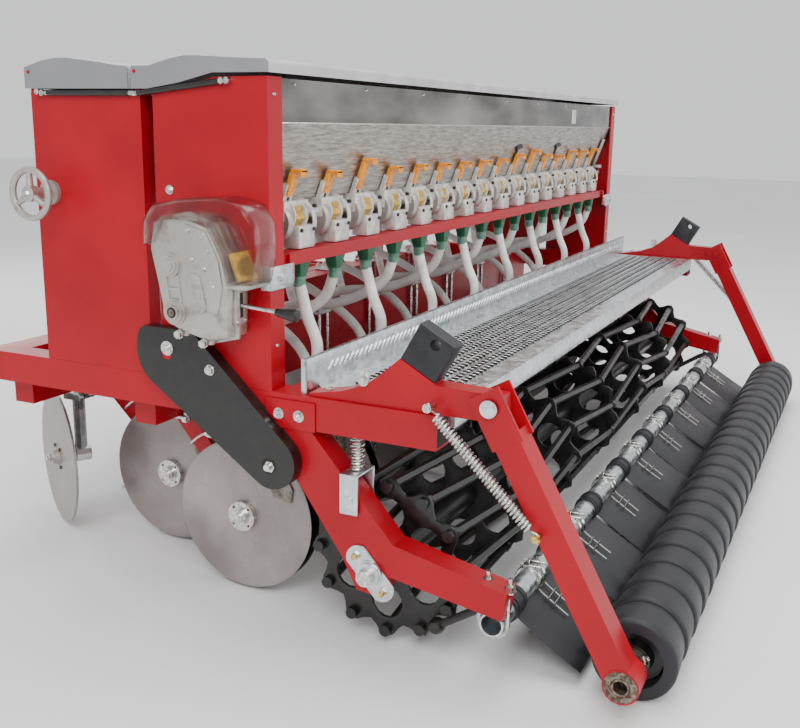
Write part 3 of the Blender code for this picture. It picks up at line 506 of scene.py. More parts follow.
def moulded_rubber(name):
    """Moulded rubber: dark and matt with a grey bloom and fine scuffs."""
    tree, surface, where = blank(name, Specular_IOR_Level=0.4)
    bloom = noise(tree, where, 55, 6, roughness=0.65)
    fine = noise(tree, where, 6, 6, (1, 4, 4), 0.75)
    scuff = between(tree, fine, linear("#000000"), linear("#ffffff"), 0.66, 0.72)
    colour = between(tree, bloom, linear("#17171a"), linear("#2b2b30"), 0.35, 0.7)
    join(tree, surface, Base_Color=mixed(tree, ranged(tree, scuff, 0.0, 0.3), colour, linear("#6c6962")),
         Roughness=ranged(tree, bloom, 0.42, 0.62, 0.35, 0.7))
    bump(tree, surface, noise(tree, where, 3, 3), 0.05, 0.5)


def flap_rubber(name):
    """Cut rubber belting: flatter and a little greyer than the moulded rings, with a soft sheen."""
    cloudy(name, "#1e1e21", "#313136", (90, 5), (0.35, 0.7), (0.38, 0.55, 0.35, 0.7), (4, 3, 0.04, 0.4),
           Specular_IOR_Level=0.45)


def dusty_sheet(name):
    """Thin bare sheet steel, matt with dried soil and grease."""
    tree, surface, _, soil = cloudy(name, "#5c554c", "#a39d92", (18, 6, EVEN, 0.65), (0.35, 0.65),
                                    (0.65, 0.4, 0.35, 0.7), Metallic=0.4)
    bump(tree, surface, soil, 0.08, 0.4)


def clear_hose(name):
    """Corrugated EVA hose: milky, so light soaks into it, with rings a few millimetres apart."""
    tree, surface, where, _ = cloudy(name, "#cfcdc8", "#efeeeb", (60, 4), (0.35, 0.6), Roughness=0.35,
                                     Subsurface_Weight=0.35, Subsurface_Scale=0.01)
    surface.inputs["Subsurface Radius"].default_value = (1.0, 0.95, 0.9)
    rings = add(tree, "TexWave", {"Vector": where, "Scale": per_mm(6) / 20, "Distortion": 0.0},
                bands_direction="Z")
    bump(tree, surface, rings.outputs["Fac"], 0.6, 0.5)


def green_plastic(name):
    """Injection-moulded polypropylene funnels: waxy green, paler where the wall is thin."""
    cloudy(name, "#0b4a2b", "#1b6a44", (25, 3), (0.3, 0.7), None, (3, 2, 0.04, 0.4), Roughness=0.38,
           Subsurface_Weight=0.1, Subsurface_Scale=0.004)


def green_collar(name):
    """The funnel's thin neck seen through the milky hose end over it: a paler, greyer green."""
    cloudy(name, "#3f6f5a", "#6b9483", (14, 3), (0.3, 0.7), None, (3, 2, 0.04, 0.4), Roughness=0.4)


def orange_plastic(name):
    """Moulded nylon slides: orange with darker rubbed edges and dust in the corners."""
    cloudy(name, "#c96f0d", "#f29a18", (10, 5), (0.32, 0.55), None, (2, 2, 0.03, 0.4), Roughness=0.36,
           Subsurface_Weight=0.08, Subsurface_Scale=0.003)


def yellow_plastic(name):
    """Moulded yellow feed rotors and scale plates, dusty from the grain."""
    cloudy(name, "#8a6410", "#d9a628", (8, 5), (0.3, 0.6), None, (2, 2, 0.04, 0.4), Roughness=0.45)


def varnished_disc_steel(name):
    """Rolled and hardened steel discs: a dull varnish over grey scale with scratches in every direction."""
    tree, surface, where = blank(name, Metallic=0.55)
    scale = noise(tree, where, 120, 5)
    grey = between(tree, scale, linear("#8a817f"), linear("#aca4a1"), 0.3, 0.7)
    scratch = add(tree, "TexVoronoi", {"Vector": where, "Scale": per_mm(38)}, feature="DISTANCE_TO_EDGE")
    thin = between(tree, scratch.outputs["Distance"], linear("#ffffff"), linear("#000000"), 0.0, 0.008)
    patches = ranged(tree, noise(tree, where, 60, 4), 0, 1, 0.52, 0.6)
    patchy = add(tree, "Math", {0: thin, 1: patches}, operation="MULTIPLY")
    join(tree, surface, Base_Color=mixed(tree, patchy.outputs["Value"], grey, linear("#4b413b")),
         Roughness=ranged(tree, scale, 0.34, 0.5, 0.3, 0.7))
    bump(tree, surface, noise(tree, where, 5, 4), 0.04, 0.4)


def rusty_steel(name):
    """Bare turned steel with a brown bloom of rust."""
    tree, surface, _, bloom = cloudy(name, "#4f3b2c", "#8f867b", (8, 6, EVEN, 0.65), (0.4, 0.66),
                                     (0.65, 0.35, 0.35, 0.7), Metallic=0.7)
    bump(tree, surface, bloom, 0.15, 0.5)


def clear_cover(name):
    """Blow-moulded clear cover, hazed by dust."""
    tree, surface, where, _ = cloudy(name, "#d8d2cd", "#f4f1ee", (30, 4), (0.3, 0.7),
                                     Transmission_Weight=1.0, IOR=1.3, Alpha=0.72)
    join(tree, surface, Roughness=ranged(tree, noise(tree, where, 18, 5), 0.04, 0.18, 0.35, 0.7))


def painted_shade_and_scale_marks(name):
    """Painted shade: a dark brown that drifts in tone, put in slots, holes and an open tube end where shade
    falls; also the dark marks on the gearbox scale.
    """
    cloudy(name, "#120f0d", "#2c2620", (30, 4), (0.3, 0.7), Roughness=0.8)


def blank_label(name):
    """A plain paper sticker, matt and slightly yellowed."""
    cloudy(name, "#b9bcb0", "#d4d6cb", (12, 3), (0.3, 0.7), Roughness=0.6)


def pale_floor(name):
    """A plain matt studio floor."""
    cloudy(name, "#e9e9e8", "#efefee", (900, 2), (0.3, 0.7), Roughness=0.9)


def material(finish):
    """The material of a finish, made the first time that it is asked for."""
    if finish.__name__ not in bpy.data.materials:
        finish(finish.__name__)
    return bpy.data.materials[finish.__name__]


# Sizes and colours that a user would change


class DrillColours(bpy.types.PropertyGroup):
    paint: FloatVectorProperty(name="Paint", description="Frame and hopper end colour", subtype="COLOR",
                               default=linear("#a80018"))
    lid: FloatVectorProperty(name="Lid", description="Lid colour", subtype="COLOR", default=linear("#838387"))


class DrillSizes(bpy.types.PropertyGroup):
    lid_edge: FloatProperty(name="Lid edge", description="Radius of the lids' rolled edges", default=0.008,
                            unit="LENGTH", min=0.001)
    ring_count: IntProperty(name="Press rings", description="Rubber rings on the press roller", default=24,
                            min=4)
    spring_turns: IntProperty(name="Spring turns", description="Turns of each press arm spring", default=34,
                              min=8)
    hose_radius: FloatProperty(name="Hose", description="Outer radius of the hoses", default=0.0125,
                               unit="LENGTH", min=0.005)


class PieceOperator:
    """Shared settings of the operators."""

    bl_options = {"REGISTER", "UNDO"}


# Hoppers and lids


def lid_line(rear, front, crown, low, edge):
    """The (y, z) section of a folded lid, from its rear hem over the crown to its front hem."""
    (y0, z0), (y1, z1) = rear, front
    line = [(y0, low[0]), (y0, z0 - edge)]
    line += arc(y0 + edge, z0 - edge, edge, 180, 105, 4)
    line += crown
    line += arc(y1 - edge * 0.5, z1 - edge * 0.5, edge * 0.5, 80, 0, 3)
    return line + [(y1, low[1])]


def cut_line(line, end):
    """The part of a section that lies behind y = end."""
    kept = []
    for (y0, z0), (y1, z1) in zip(line, line[1:]):
        if y0 < end:
            kept.append((y0, z0))
            if y1 >= end:
                kept.append((end, z0 + (z1 - z0) * (end - y0) / (y1 - y0)))
    return kept


def fold_sheet(bm, line, x0, x1):
    """The bare upper skin of a folded sheet along the line, from x0 to x1."""
    verts = [bm.verts.new((x0, y, z)) for y, z in line]
    edges = [bm.edges.new(pair) for pair in zip(verts, verts[1:])]
    made = bmesh.ops.extrude_edge_only(bm, edges=edges)["geom"]
    bmesh.ops.translate(bm, vec=(x1 - x0, 0, 0), verts=[v for v in made if isinstance(v, bmesh.types.BMVert)])
    faces = [face for face in made if isinstance(face, bmesh.types.BMFace)]
    bmesh.ops.recalc_face_normals(bm, faces=faces)
    if sum(face.normal.z * face.calc_area() for face in faces) < 0:
        bmesh.ops.reverse_faces(bm, faces=faces)


class DRILL_OT_lids(PieceOperator, bpy.types.Operator):
    """Build the two folded lids with their plugged ends"""

    bl_idname = "drill.lids"
    bl_label = "Lids"

    def execute(self, context):
        edge = context.scene.drill_sizes.lid_edge
        for name, body, crown, ends, low in (
            ("seed_hopper_lid", "seed_lid",
             [(0.070, 1.1625), (0.150, 1.1672), (0.181, 1.1674), (0.215, 1.162), (0.265, 1.150)],
             ((-0.008, 1.160), (0.3088, 1.150)), (1.136, 1.107)),
            ("fertiliser_hopper_lid", "fertiliser_lid",
             [(0.350, 1.152), (0.389, 1.158), (0.470, 1.1668), (0.505, 1.1672), (0.540, 1.162)],
             ((0.3175, 1.150), (0.5885, 1.150)), (1.107, 1.107)),
        ):
            line = lid_line(*ends, crown, low, edge if name.startswith("seed") else edge * 0.5)
            half = HALF + 0.0098
            bm = bmesh.new()
            notch = HALF - 0.0115
            fold_sheet(bm, line, -notch, notch)
            short = cut_line(line, ends[1][0] - 0.0285)
            fold_sheet(bm, short, -half + 0.003, -notch)
            fold_sheet(bm, short, notch, half - 0.003)
            bmesh.ops.solidify(bm, geom=bm.faces, thickness=0.0025)
            settle(list(bm.verts), 1, True)
            under = [(0.270, 1.107), (0.195, 1.118), (0.116, 1.136)] if name.startswith("seed") else []
            for side in (-1, 1):
                add_plate(bm, line + under, side * half, side * (half - 0.0028), 0, bevel=0.0012)
            piece(name + "_folded", bm, [grey_powder_coat, pale_powder_coat], body, [name], "grey_paint", 40)
        return {"FINISHED"}


class DRILL_OT_hoppers(PieceOperator, bpy.types.Operator):
    """Paint the hoppers and their end panels, and add the panels' small fasteners, struts and clamps"""

    bl_idname = "drill.hoppers"
    bl_label = "Hoppers"

    def execute(self, context):
        ends = [f"{hopper}_hopper_end_{side}" for hopper in ("seed", "fertiliser")
                for side in ("left", "right")]
        paint_part(red_powder_coat, *ends, "seed_funnel_rail", "fertiliser_funnel_rail")
        paint_part(hopper_stainless, "seed_hopper", "fertiliser_hopper")

        def left_end(bm):
            x = -HALF - 0.0065
            for (y0, z0), (y1, z1) in (((0.530, 1.0985), (0.318, 1.0985)),
                                       ((0.296, 1.0985), (0.100, 1.1205))):
                add_bar(bm, (x, y0, z0), (x, y1, z1), 0.0058, 1, 12)
                add_bar(bm, (x, y0, z0), (x, y0 + (y0 - y1) * 0.06, z0 + (z0 - z1) * 0.06), 0.0048, 0, 10)
                add_bar(bm, (x, y1, z1), (x, y1 - (y0 - y1) * 0.06, z1 - (z0 - z1) * 0.06), 0.0048, 0, 10)
            for y, z in ((0.541, 1.0985), (0.554, 1.101), (0.082, 1.1215), (0.094, 1.121)):
                add_bar(bm, (-HALF + 0.002, y, z), (-HALF - 0.014, y, z), 0.0062, 0, 12)
            add_bolt(bm, (-HALF, 0.232, 0.914), (-1, 0, 0), 0.011, 0)
            for z in (1.098, 0.620):
                add_bar(bm, (-HALF + 0.022, 0.002, z), (-HALF + 0.022, -0.003, z), 0.0045, 0, 10, 0.003)
            for y in (0.150, 0.420):
                add_block(bm, (-HALF - 0.0012, y - 0.012, 0.5325), (-HALF + 0.030, y + 0.012, 0.536), 2,
                          0.0008)

        piece_of_copies("hopper_end_fittings", left_end, BOTH_ENDS,
                        [bright_zinc, black_enamel, red_powder_coat])

        bm = bmesh.new()
        add_block(bm, (-HALF + 0.006, 0.0022, 1.0445), (HALF - 0.006, 0.0052, 1.0478), 0, 0.0008)
        for k in range(9):
            x = -1.2 + 0.3 * k
            add_bar(bm, (x, 0.0055, 1.118), (x, 0.0015, 1.118), 0.0035, 0, 10, 0.0025)
        add_block(bm, (0.693, 0.0040, 1.058), (0.745, 0.0051, 1.106), 1, 0.0003)
        piece("hopper_band_trim", bm, [bright_zinc, blank_label])
        return {"FINISHED"}


class DRILL_OT_post_clamps(PieceOperator, bpy.types.Operator):
    """Build the strap clamps that hold the funnel rail to the end posts"""

    bl_idname = "drill.post_clamps"
    bl_label = "Post clamps"

    def execute(self, context):
        def left_clamp(bm):
            low, high = 0.731, 0.777
            add_block(bm, (-HALF - 0.0035, 0.019, low), (-HALF - 0.0005, -0.0035, high), 0, 0.0008)
            add_block(bm, (-HALF - 0.0035, -0.0038, low), (-HALF + 0.082, -0.0008, high), 0, 0.0008)
            add_block(bm, (-HALF + 0.054, -0.0008, low + 0.003), (-HALF + 0.080, 0.012, high - 0.003), 0,
                      0.0008)
            add_bolt(bm, (-HALF + 0.030, -0.0036, 0.754), (0, -1, 0), 0.013, 0)
            add_block(bm, (-HALF + 0.080, 0.0045, 0.740), (-HALF + 0.098, 0.0085, 0.792), 1, 0.0008)

        piece_of_copies("funnel_rail_clamps", left_clamp, BOTH_ENDS, [galvanised, red_powder_coat])
        return {"FINISHED"}


# Frame, hitch and stands


class DRILL_OT_frame(PieceOperator, bpy.types.Operator):
    """Paint the frame, the arms, the headstock and the stands"""

    bl_idname = "drill.frame"
    bl_label = "Frame"

    def execute(self, context):
        paint_part(red_powder_coat, "main_frame", "middle_beam", "front_toolbar", "headstock",
                   "cage_roller_arm_left", "cage_roller_arm_right", "press_arm_bracket_left",
                   "press_arm_bracket_right", "press_roller_arm_left", "press_roller_arm_right",
                   "rear_opener_arms", "front_opener_arms")
        paint_part(galvanised, "parking_stand_left", "parking_stand_right",
                   "edge_disc_arm_left", "edge_disc_arm_right")
        return {"FINISHED"}


# Metering units

SLIDE_TOPS = (.957, .950, .972, .950, .950, .949, .949, .949, .950, .962, .972, .955, .950, .962, .962, .965)
SHEET_LEAN = Vector((0, -0.336, 0.942))


def leaning_plate(bm, x0, x1, y, z, length, thick, paint):
    """A strip that lies along the hopper's lower sheet, upwards from (y, z)."""
    foot = Vector((0, y, z))
    out = Vector((0, -SHEET_LEAN.z, SHEET_LEAN.y)) * thick
    head = foot + SHEET_LEAN * length
    outline = [(p.y, p.z) for p in (foot, head, head + out, foot + out)]
    add_plate(bm, outline, x0, x1, paint, bevel=0.001)
    return head


def metering_cup(bm):
    """One cast cup: spout, body, bowl, feed rotor between its cheeks, and the strap over it."""
    add_block(bm, (-0.033, 0.0205, 0.795), (0.030, 0.062, 0.842), 0, 0.003)
    body = [(-0.057, 0.852), (-0.057, 0.892), (0.038, 0.892), (0.038, 0.852), (0.028, 0.838), (-0.031, 0.838)]
    add_plate(bm, body, 0.040, 0.098, 0, bevel=0.003, axis=1)
    add_turned(bm, [(0, 0.012), (0, 0.036), (0.004, 0.041), (0.012, 0.041), (0.012, 0)],
               (-0.056, 0.067, 0.848), (1, 0, 0), 3, 20)
    for x0, x1 in ((-0.036, -0.032), (0.006, 0.010)):
        add_plate(bm, arc(0.062, 0.862, 0.035, -60, 240, 14), x0, x1, 0, bevel=0.0008)
    star = []
    for k in range(16):
        angle = math.pi * (k + 0.3) / 8
        reach = 0.0335 if k % 2 == 0 else 0.0240
        star.append((0.060 + reach * math.cos(angle), 0.860 + reach * math.sin(angle)))
    add_plate(bm, star, -0.030, 0.004, 1, bevel=0.0015)
    add_bar(bm, (-0.040, 0.060, 0.862), (0.014, 0.060, 0.862), 0.0135, 3, 16)
    strap = arc(0.068, 0.847, 0.0495, 88, 205, 14) + arc(0.068, 0.847, 0.0460, 205, 88, 14)
    add_plate(bm, strap, 0.0215, 0.0345, 0, bevel=0.0006)
    for x, z in ((-0.026, 0.833), (0.023, 0.833), (0.028, 0.880)):
        add_bar(bm, (x, 0.024, z), (x, 0.0165, z), 0.0042, 2, 8)
    leaning_plate(bm, -0.052, -0.018, 0.0635, 0.880, 0.052, 0.011, 0)
    add_bar(bm, (-0.035, 0.056, 0.900), (-0.035, 0.044, 0.896), 0.004, 2, 8)


def shut_off_slides(bm):
    """Each row's slide, shut or drawn to its own height, with its hooked top."""
    for row, top in enumerate(SLIDE_TOPS):
        x = row_x(row)
        head = leaning_plate(bm, x - 0.047, x - 0.023, 0.0505, 0.905, (top - 0.905) / SHEET_LEAN.z, 0.0110, 0)
        add_block(bm, (x - 0.048, head.y - 0.0260, head.z - 0.0075), (x - 0.022, head.y, head.z), 0, 0.0015)
        add_block(bm, (x - 0.048, head.y - 0.0260, head.z - 0.0165),
                  (x - 0.022, head.y - 0.0215, head.z - 0.002), 0, 0.001)


def end_controls(bm):
    """The shaft, its two black levers and the grey guard at the right end."""
    add_bar(bm, (-HALF + 0.006, 0.060, 0.862), (HALF - 0.006, 0.060, 0.862), 0.0095, 0, 6)
    for x in (0.184, 0.601):
        add_bar(bm, (x, 0.044, 0.935), (x + 0.004, 0.026, 0.982), 0.004, 1, 10)
        add_bar(bm, (x - 0.014, 0.030, 0.979), (x + 0.022, 0.024, 0.984), 0.0075, 1, 10)
    guard = [(0.054, 0.893), (0.016, 1.000), (0.010, 0.998), (0.048, 0.890)]
    add_plate(bm, guard, 1.188, 1.212, 2, bevel=0.0008)
    add_block(bm, (1.185, 0.020, 0.885), (1.215, 0.052, 0.897), 2, 0.002)
    for x in (-1.262, 1.262):
        add_turned(bm, [(-0.012, 0), (-0.012, 0.020), (0.012, 0.020), (0.012, 0)], (x, 0.060, 0.862),
                   (1, 0, 0), 0, 16)


class DRILL_OT_metering(PieceOperator, bpy.types.Operator):
    """Build the cast metering cups, their slides and the shafts under both hoppers"""

    bl_idname = "drill.metering"
    bl_label = "Metering"

    def execute(self, context):
        rows = shifts(*((row_x(row), 0, 0) for row in range(ROWS)))
        rear, front = local_box("seed_metering_unit")[0].y, local_box("fertiliser_metering_unit")[1].y
        middle = Matrix.Translation((0, (rear + front) / 2, 0))
        mirrored = middle @ Matrix.Scale(-1, 4, (0, 1, 0)) @ middle.inverted()
        for name, turn in (("seed", Matrix.Identity(4)), ("fertiliser", mirrored)):
            piece_of_copies(f"{name}_metering_cups", metering_cup, [turn @ row for row in rows],
                            [bright_casting, yellow_plastic, black_enamel, die_cast_housing],
                            stands_for=[f"{name}_metering_unit"], slot="cast_aluminium")
            piece_of_copies(f"{name}_shut_off_slides", shut_off_slides, [turn], [orange_plastic])
            piece_of_copies(f"{name}_metering_shaft", end_controls, [turn],
                            [bright_zinc, black_enamel, die_cast_housing])
        return {"FINISHED"}


# Funnels and hoses


def add_rings(bm, rings, paint):
    """A closed tube through upright rings of (middle, half width, half depth, squareness 0 to 1)."""
    loops = []
    for middle, half_x, half_y, square in rings:
        verts = bmesh.ops.create_circle(bm, cap_ends=False, segments=16, radius=1.0)["verts"]
        for vert in verts:
            reach = max(abs(vert.co.x), abs(vert.co.y))
            grow = 1 + square * (1 / reach - 1)
            vert.co = Vector(middle) + Vector((vert.co.x * grow * half_x, vert.co.y * grow * half_y, 0))
        loops.append([edge for edge in {e for v in verts for e in v.link_edges}])
    for low, high in zip(loops, loops[1:]):
        bmesh.ops.bridge_loops(bm, edges=low + high)
    for end in (loops[0], loops[-1]):
        bmesh.ops.contextual_create(bm, geom=end)
    settle(joined_to(loops[0][0].verts[0]), paint, True)


def seed_funnel(bm):
    """A moulded funnel: box mouth, neck, and the darker collar that the hose slips over."""
    add_rings(bm, [((0, 0, 0.0), 0.027, 0.019, 0.85), ((0, 0, -0.014), 0.027, 0.019, 0.8),
                   ((0, 0, -0.040), 0.019, 0.0165, 0.35), ((0, 0, -0.054), 0.0155, 0.0155, 0)], 0)
    add_rings(bm, [((0, 0, -0.050), 0.0142, 0.0142, 0), ((0, 0, -0.076), 0.0138, 0.0138, 0)], 1)


def hose_routes():
    """Each hopper's hose lines for rows that feed the rear openers and rows that feed the front ones."""
    top = 0.7217
    return {
        "seed": (0.042, [(0.042, top), (0.022, 0.650), (-0.001, 0.590), (0.012, 0.520), (0.075, 0.440),
                         (0.125, 0.3723)],
                 [(0.042, top), (0.078, 0.655), (0.202, 0.595), (0.375, 0.565), (0.439, 0.490),
                  (0.445, 0.3723)]),
        "fertiliser": (0.541, [(0.541, top), (0.481, 0.640), (0.360, 0.590), (0.225, 0.500), (0.175, 0.3723)],
                       [(0.541, top), (0.541, 0.600), (0.510, 0.480), (0.495, 0.3723)]),
    }


class DRILL_OT_hoses(PieceOperator, bpy.types.Operator):
    """Build the green funnels and the milky hoses down to the openers"""

    bl_idname = "drill.hoses"
    bl_label = "Funnels and hoses"

    def execute(self, context):
        radius = context.scene.drill_sizes.hose_radius
        for name, (y, rear, front) in hose_routes().items():
            mouth = local_box(f"{name}_funnel_rail")[1].z - 0.0045
            piece_of_copies(f"{name}_funnels", seed_funnel,
                            shifts(*((row_x(row), y, mouth) for row in range(ROWS))),
                            [green_plastic, green_collar])
            bm = bmesh.new()
            for row in range(ROWS):
                line = smooth_line([(row_x(row), *point) for point in (front if row % 2 else rear)], 6)
                add_sweep(bm, line, radius, 0, 12)
            piece(f"{name}_hoses", bm, [clear_hose], stands_for=[f"{name}_tubes"], slot="hose_plastic",
                  sharp=60)
        return {"FINISHED"}


class DRILL_OT_beam_clamps(PieceOperator, bpy.types.Operator):
    """Build the plates and threaded bows that clamp the openers to the beams"""

    bl_idname = "drill.beam_clamps"
    bl_label = "Beam clamps"

    def execute(self, context):
        top, low = FRAME_HIGH.z, FRAME_LOW.z - 0.068

        def clamp(bm):
            add_block(bm, (-0.034, -0.046, top - 0.0005), (0.034, 0.046, top + 0.0075), 0, 0.0015)
            add_block(bm, (-0.034, -0.046, low - 0.007), (0.034, 0.046, low + 0.0005), 0, 0.0015)
            for x in (-0.022, 0.022):
                for y in (-0.0375, 0.0375):
                    add_bar(bm, (x, y, low - 0.016), (x, y, top + 0.024), 0.0055, 1, 10)
                    add_bar(bm, (x, y, top + 0.0075), (x, y, top + 0.017), 0.0105, 1, 6)
                    add_bar(bm, (x, y, low - 0.014), (x, y, low - 0.006), 0.0105, 1, 6)

        for name, y, first in (("rear_opener_clamps", 0.370, 0), ("front_opener_clamps", 0.735, 1)):
            places = shifts(*((row_x(row), y, 0) for row in range(first, ROWS, 2)))
            piece_of_copies(name, clamp, places, [galvanised, bright_zinc])
        return {"FINISHED"}


# Footboard


class DRILL_OT_footboard(PieceOperator, bpy.types.Operator):
    """Build the pressed footboard with its louvred kick plate"""

    bl_idname = "drill.footboard"
    bl_label = "Footboard"

    def execute(self, context):
        low, high = local_box("footboard")
        base, wide, narrow = FRAME_HIGH.z + 0.0003, high.x, 1.234
        bm = bmesh.new()
        add_block(bm, (-wide, -0.0745, base), (wide, -0.0715, high.z), 0, 0.0008)
        add_block(bm, (-wide, -0.0745, high.z - 0.0025), (wide, -0.0670, high.z), 0, 0.0008)
        for side in (-1, 1):
            add_block(bm, (side * wide, -0.0745, base), (side * (wide - 0.0028), -0.062, high.z), 0, 0.0006)
        add_block(bm, (-narrow, -0.362, base), (narrow, -0.073, base + 0.0028), 0)
        add_block(bm, (-narrow, low.y, low.z), (narrow, low.y + 0.0028, base + 0.0035), 0, 0.0012)
        add_block(bm, (-narrow, low.y, low.z), (narrow, low.y + 0.016, low.z + 0.0025), 0, 0.0008)
        add_block(bm, (-narrow, -0.1010, base + 0.0028), (narrow, -0.0990, base + 0.0036), 0)
        for side in (-1, 1):
            add_block(bm, (side * narrow, low.y + 0.003, low.z + 0.004),
                      (side * (narrow - 0.0028), -0.08, base + 0.0028), 0)

        def louvre(half):
            made = bmesh.ops.create_uvsphere(half, u_segments=8, v_segments=5, radius=1.0)["verts"]
            bmesh.ops.scale(half, vec=(0.0060, 0.0044, 0.0165), verts=made)
            bmesh.ops.rotate(half, matrix=Matrix.Rotation(math.radians(52), 3, "Y"), verts=made)
            settle(made, 0, True)

        count = 112
        xs = [-1.195 + 2.39 * k / (count - 1) for k in range(count)]
        lay_copies(bm, louvre, shifts(*((x, -0.0750, base + 0.040) for x in xs)))
        piece("footboard_sheet", bm, [galvanised], stands_for=["footboard"], slot="galvanised_steel")

        def tread(half):
            made = bmesh.ops.create_uvsphere(half, u_segments=8, v_segments=4, radius=1.0)["verts"]
            bmesh.ops.scale(half, vec=(0.0062, 0.0088, 0.0046), verts=made)
            settle(made, 0, True)
            # painted shadow: a dark block at the side of each dome stands for its shadowed slot
            add_block(half, (-0.0078, -0.0075, -0.001), (-0.0035, 0.0075, 0.0036), 1)

        bm = bmesh.new()
        top = base + 0.0028
        places = []
        bands = (-0.140, -0.192, -0.244, -0.296)
        for y in bands:
            for line, offset in enumerate((-0.0115, 0.0115)):
                shift = 0.0052 * line
                places += [(x + shift, y + offset, top) for x in xs[1:-1]]
        lay_copies(bm, tread, shifts(*places))
        for y in bands:
            ridge = arc(y, top - 0.0132, 0.0160, 30, 150, 6)
            add_plate(bm, ridge, -1.205, 1.205, 0)
        piece("footboard_tread", bm, [galvanised, painted_shade_and_scale_marks], sharp=50)
        return {"FINISHED"}


# Drive on the left side


def add_pin(bm, place, axis, steps, paint, sides=20):
    """A stepped round boss: (reach along the axis, radius) pairs, from its root outwards."""
    profile = []
    start = 0.0
    for reach, radius in steps:
        profile += [(start, radius), (reach, radius)]
        start = reach
    add_turned(bm, [*profile, (start, 0)], place, axis, paint, sides)


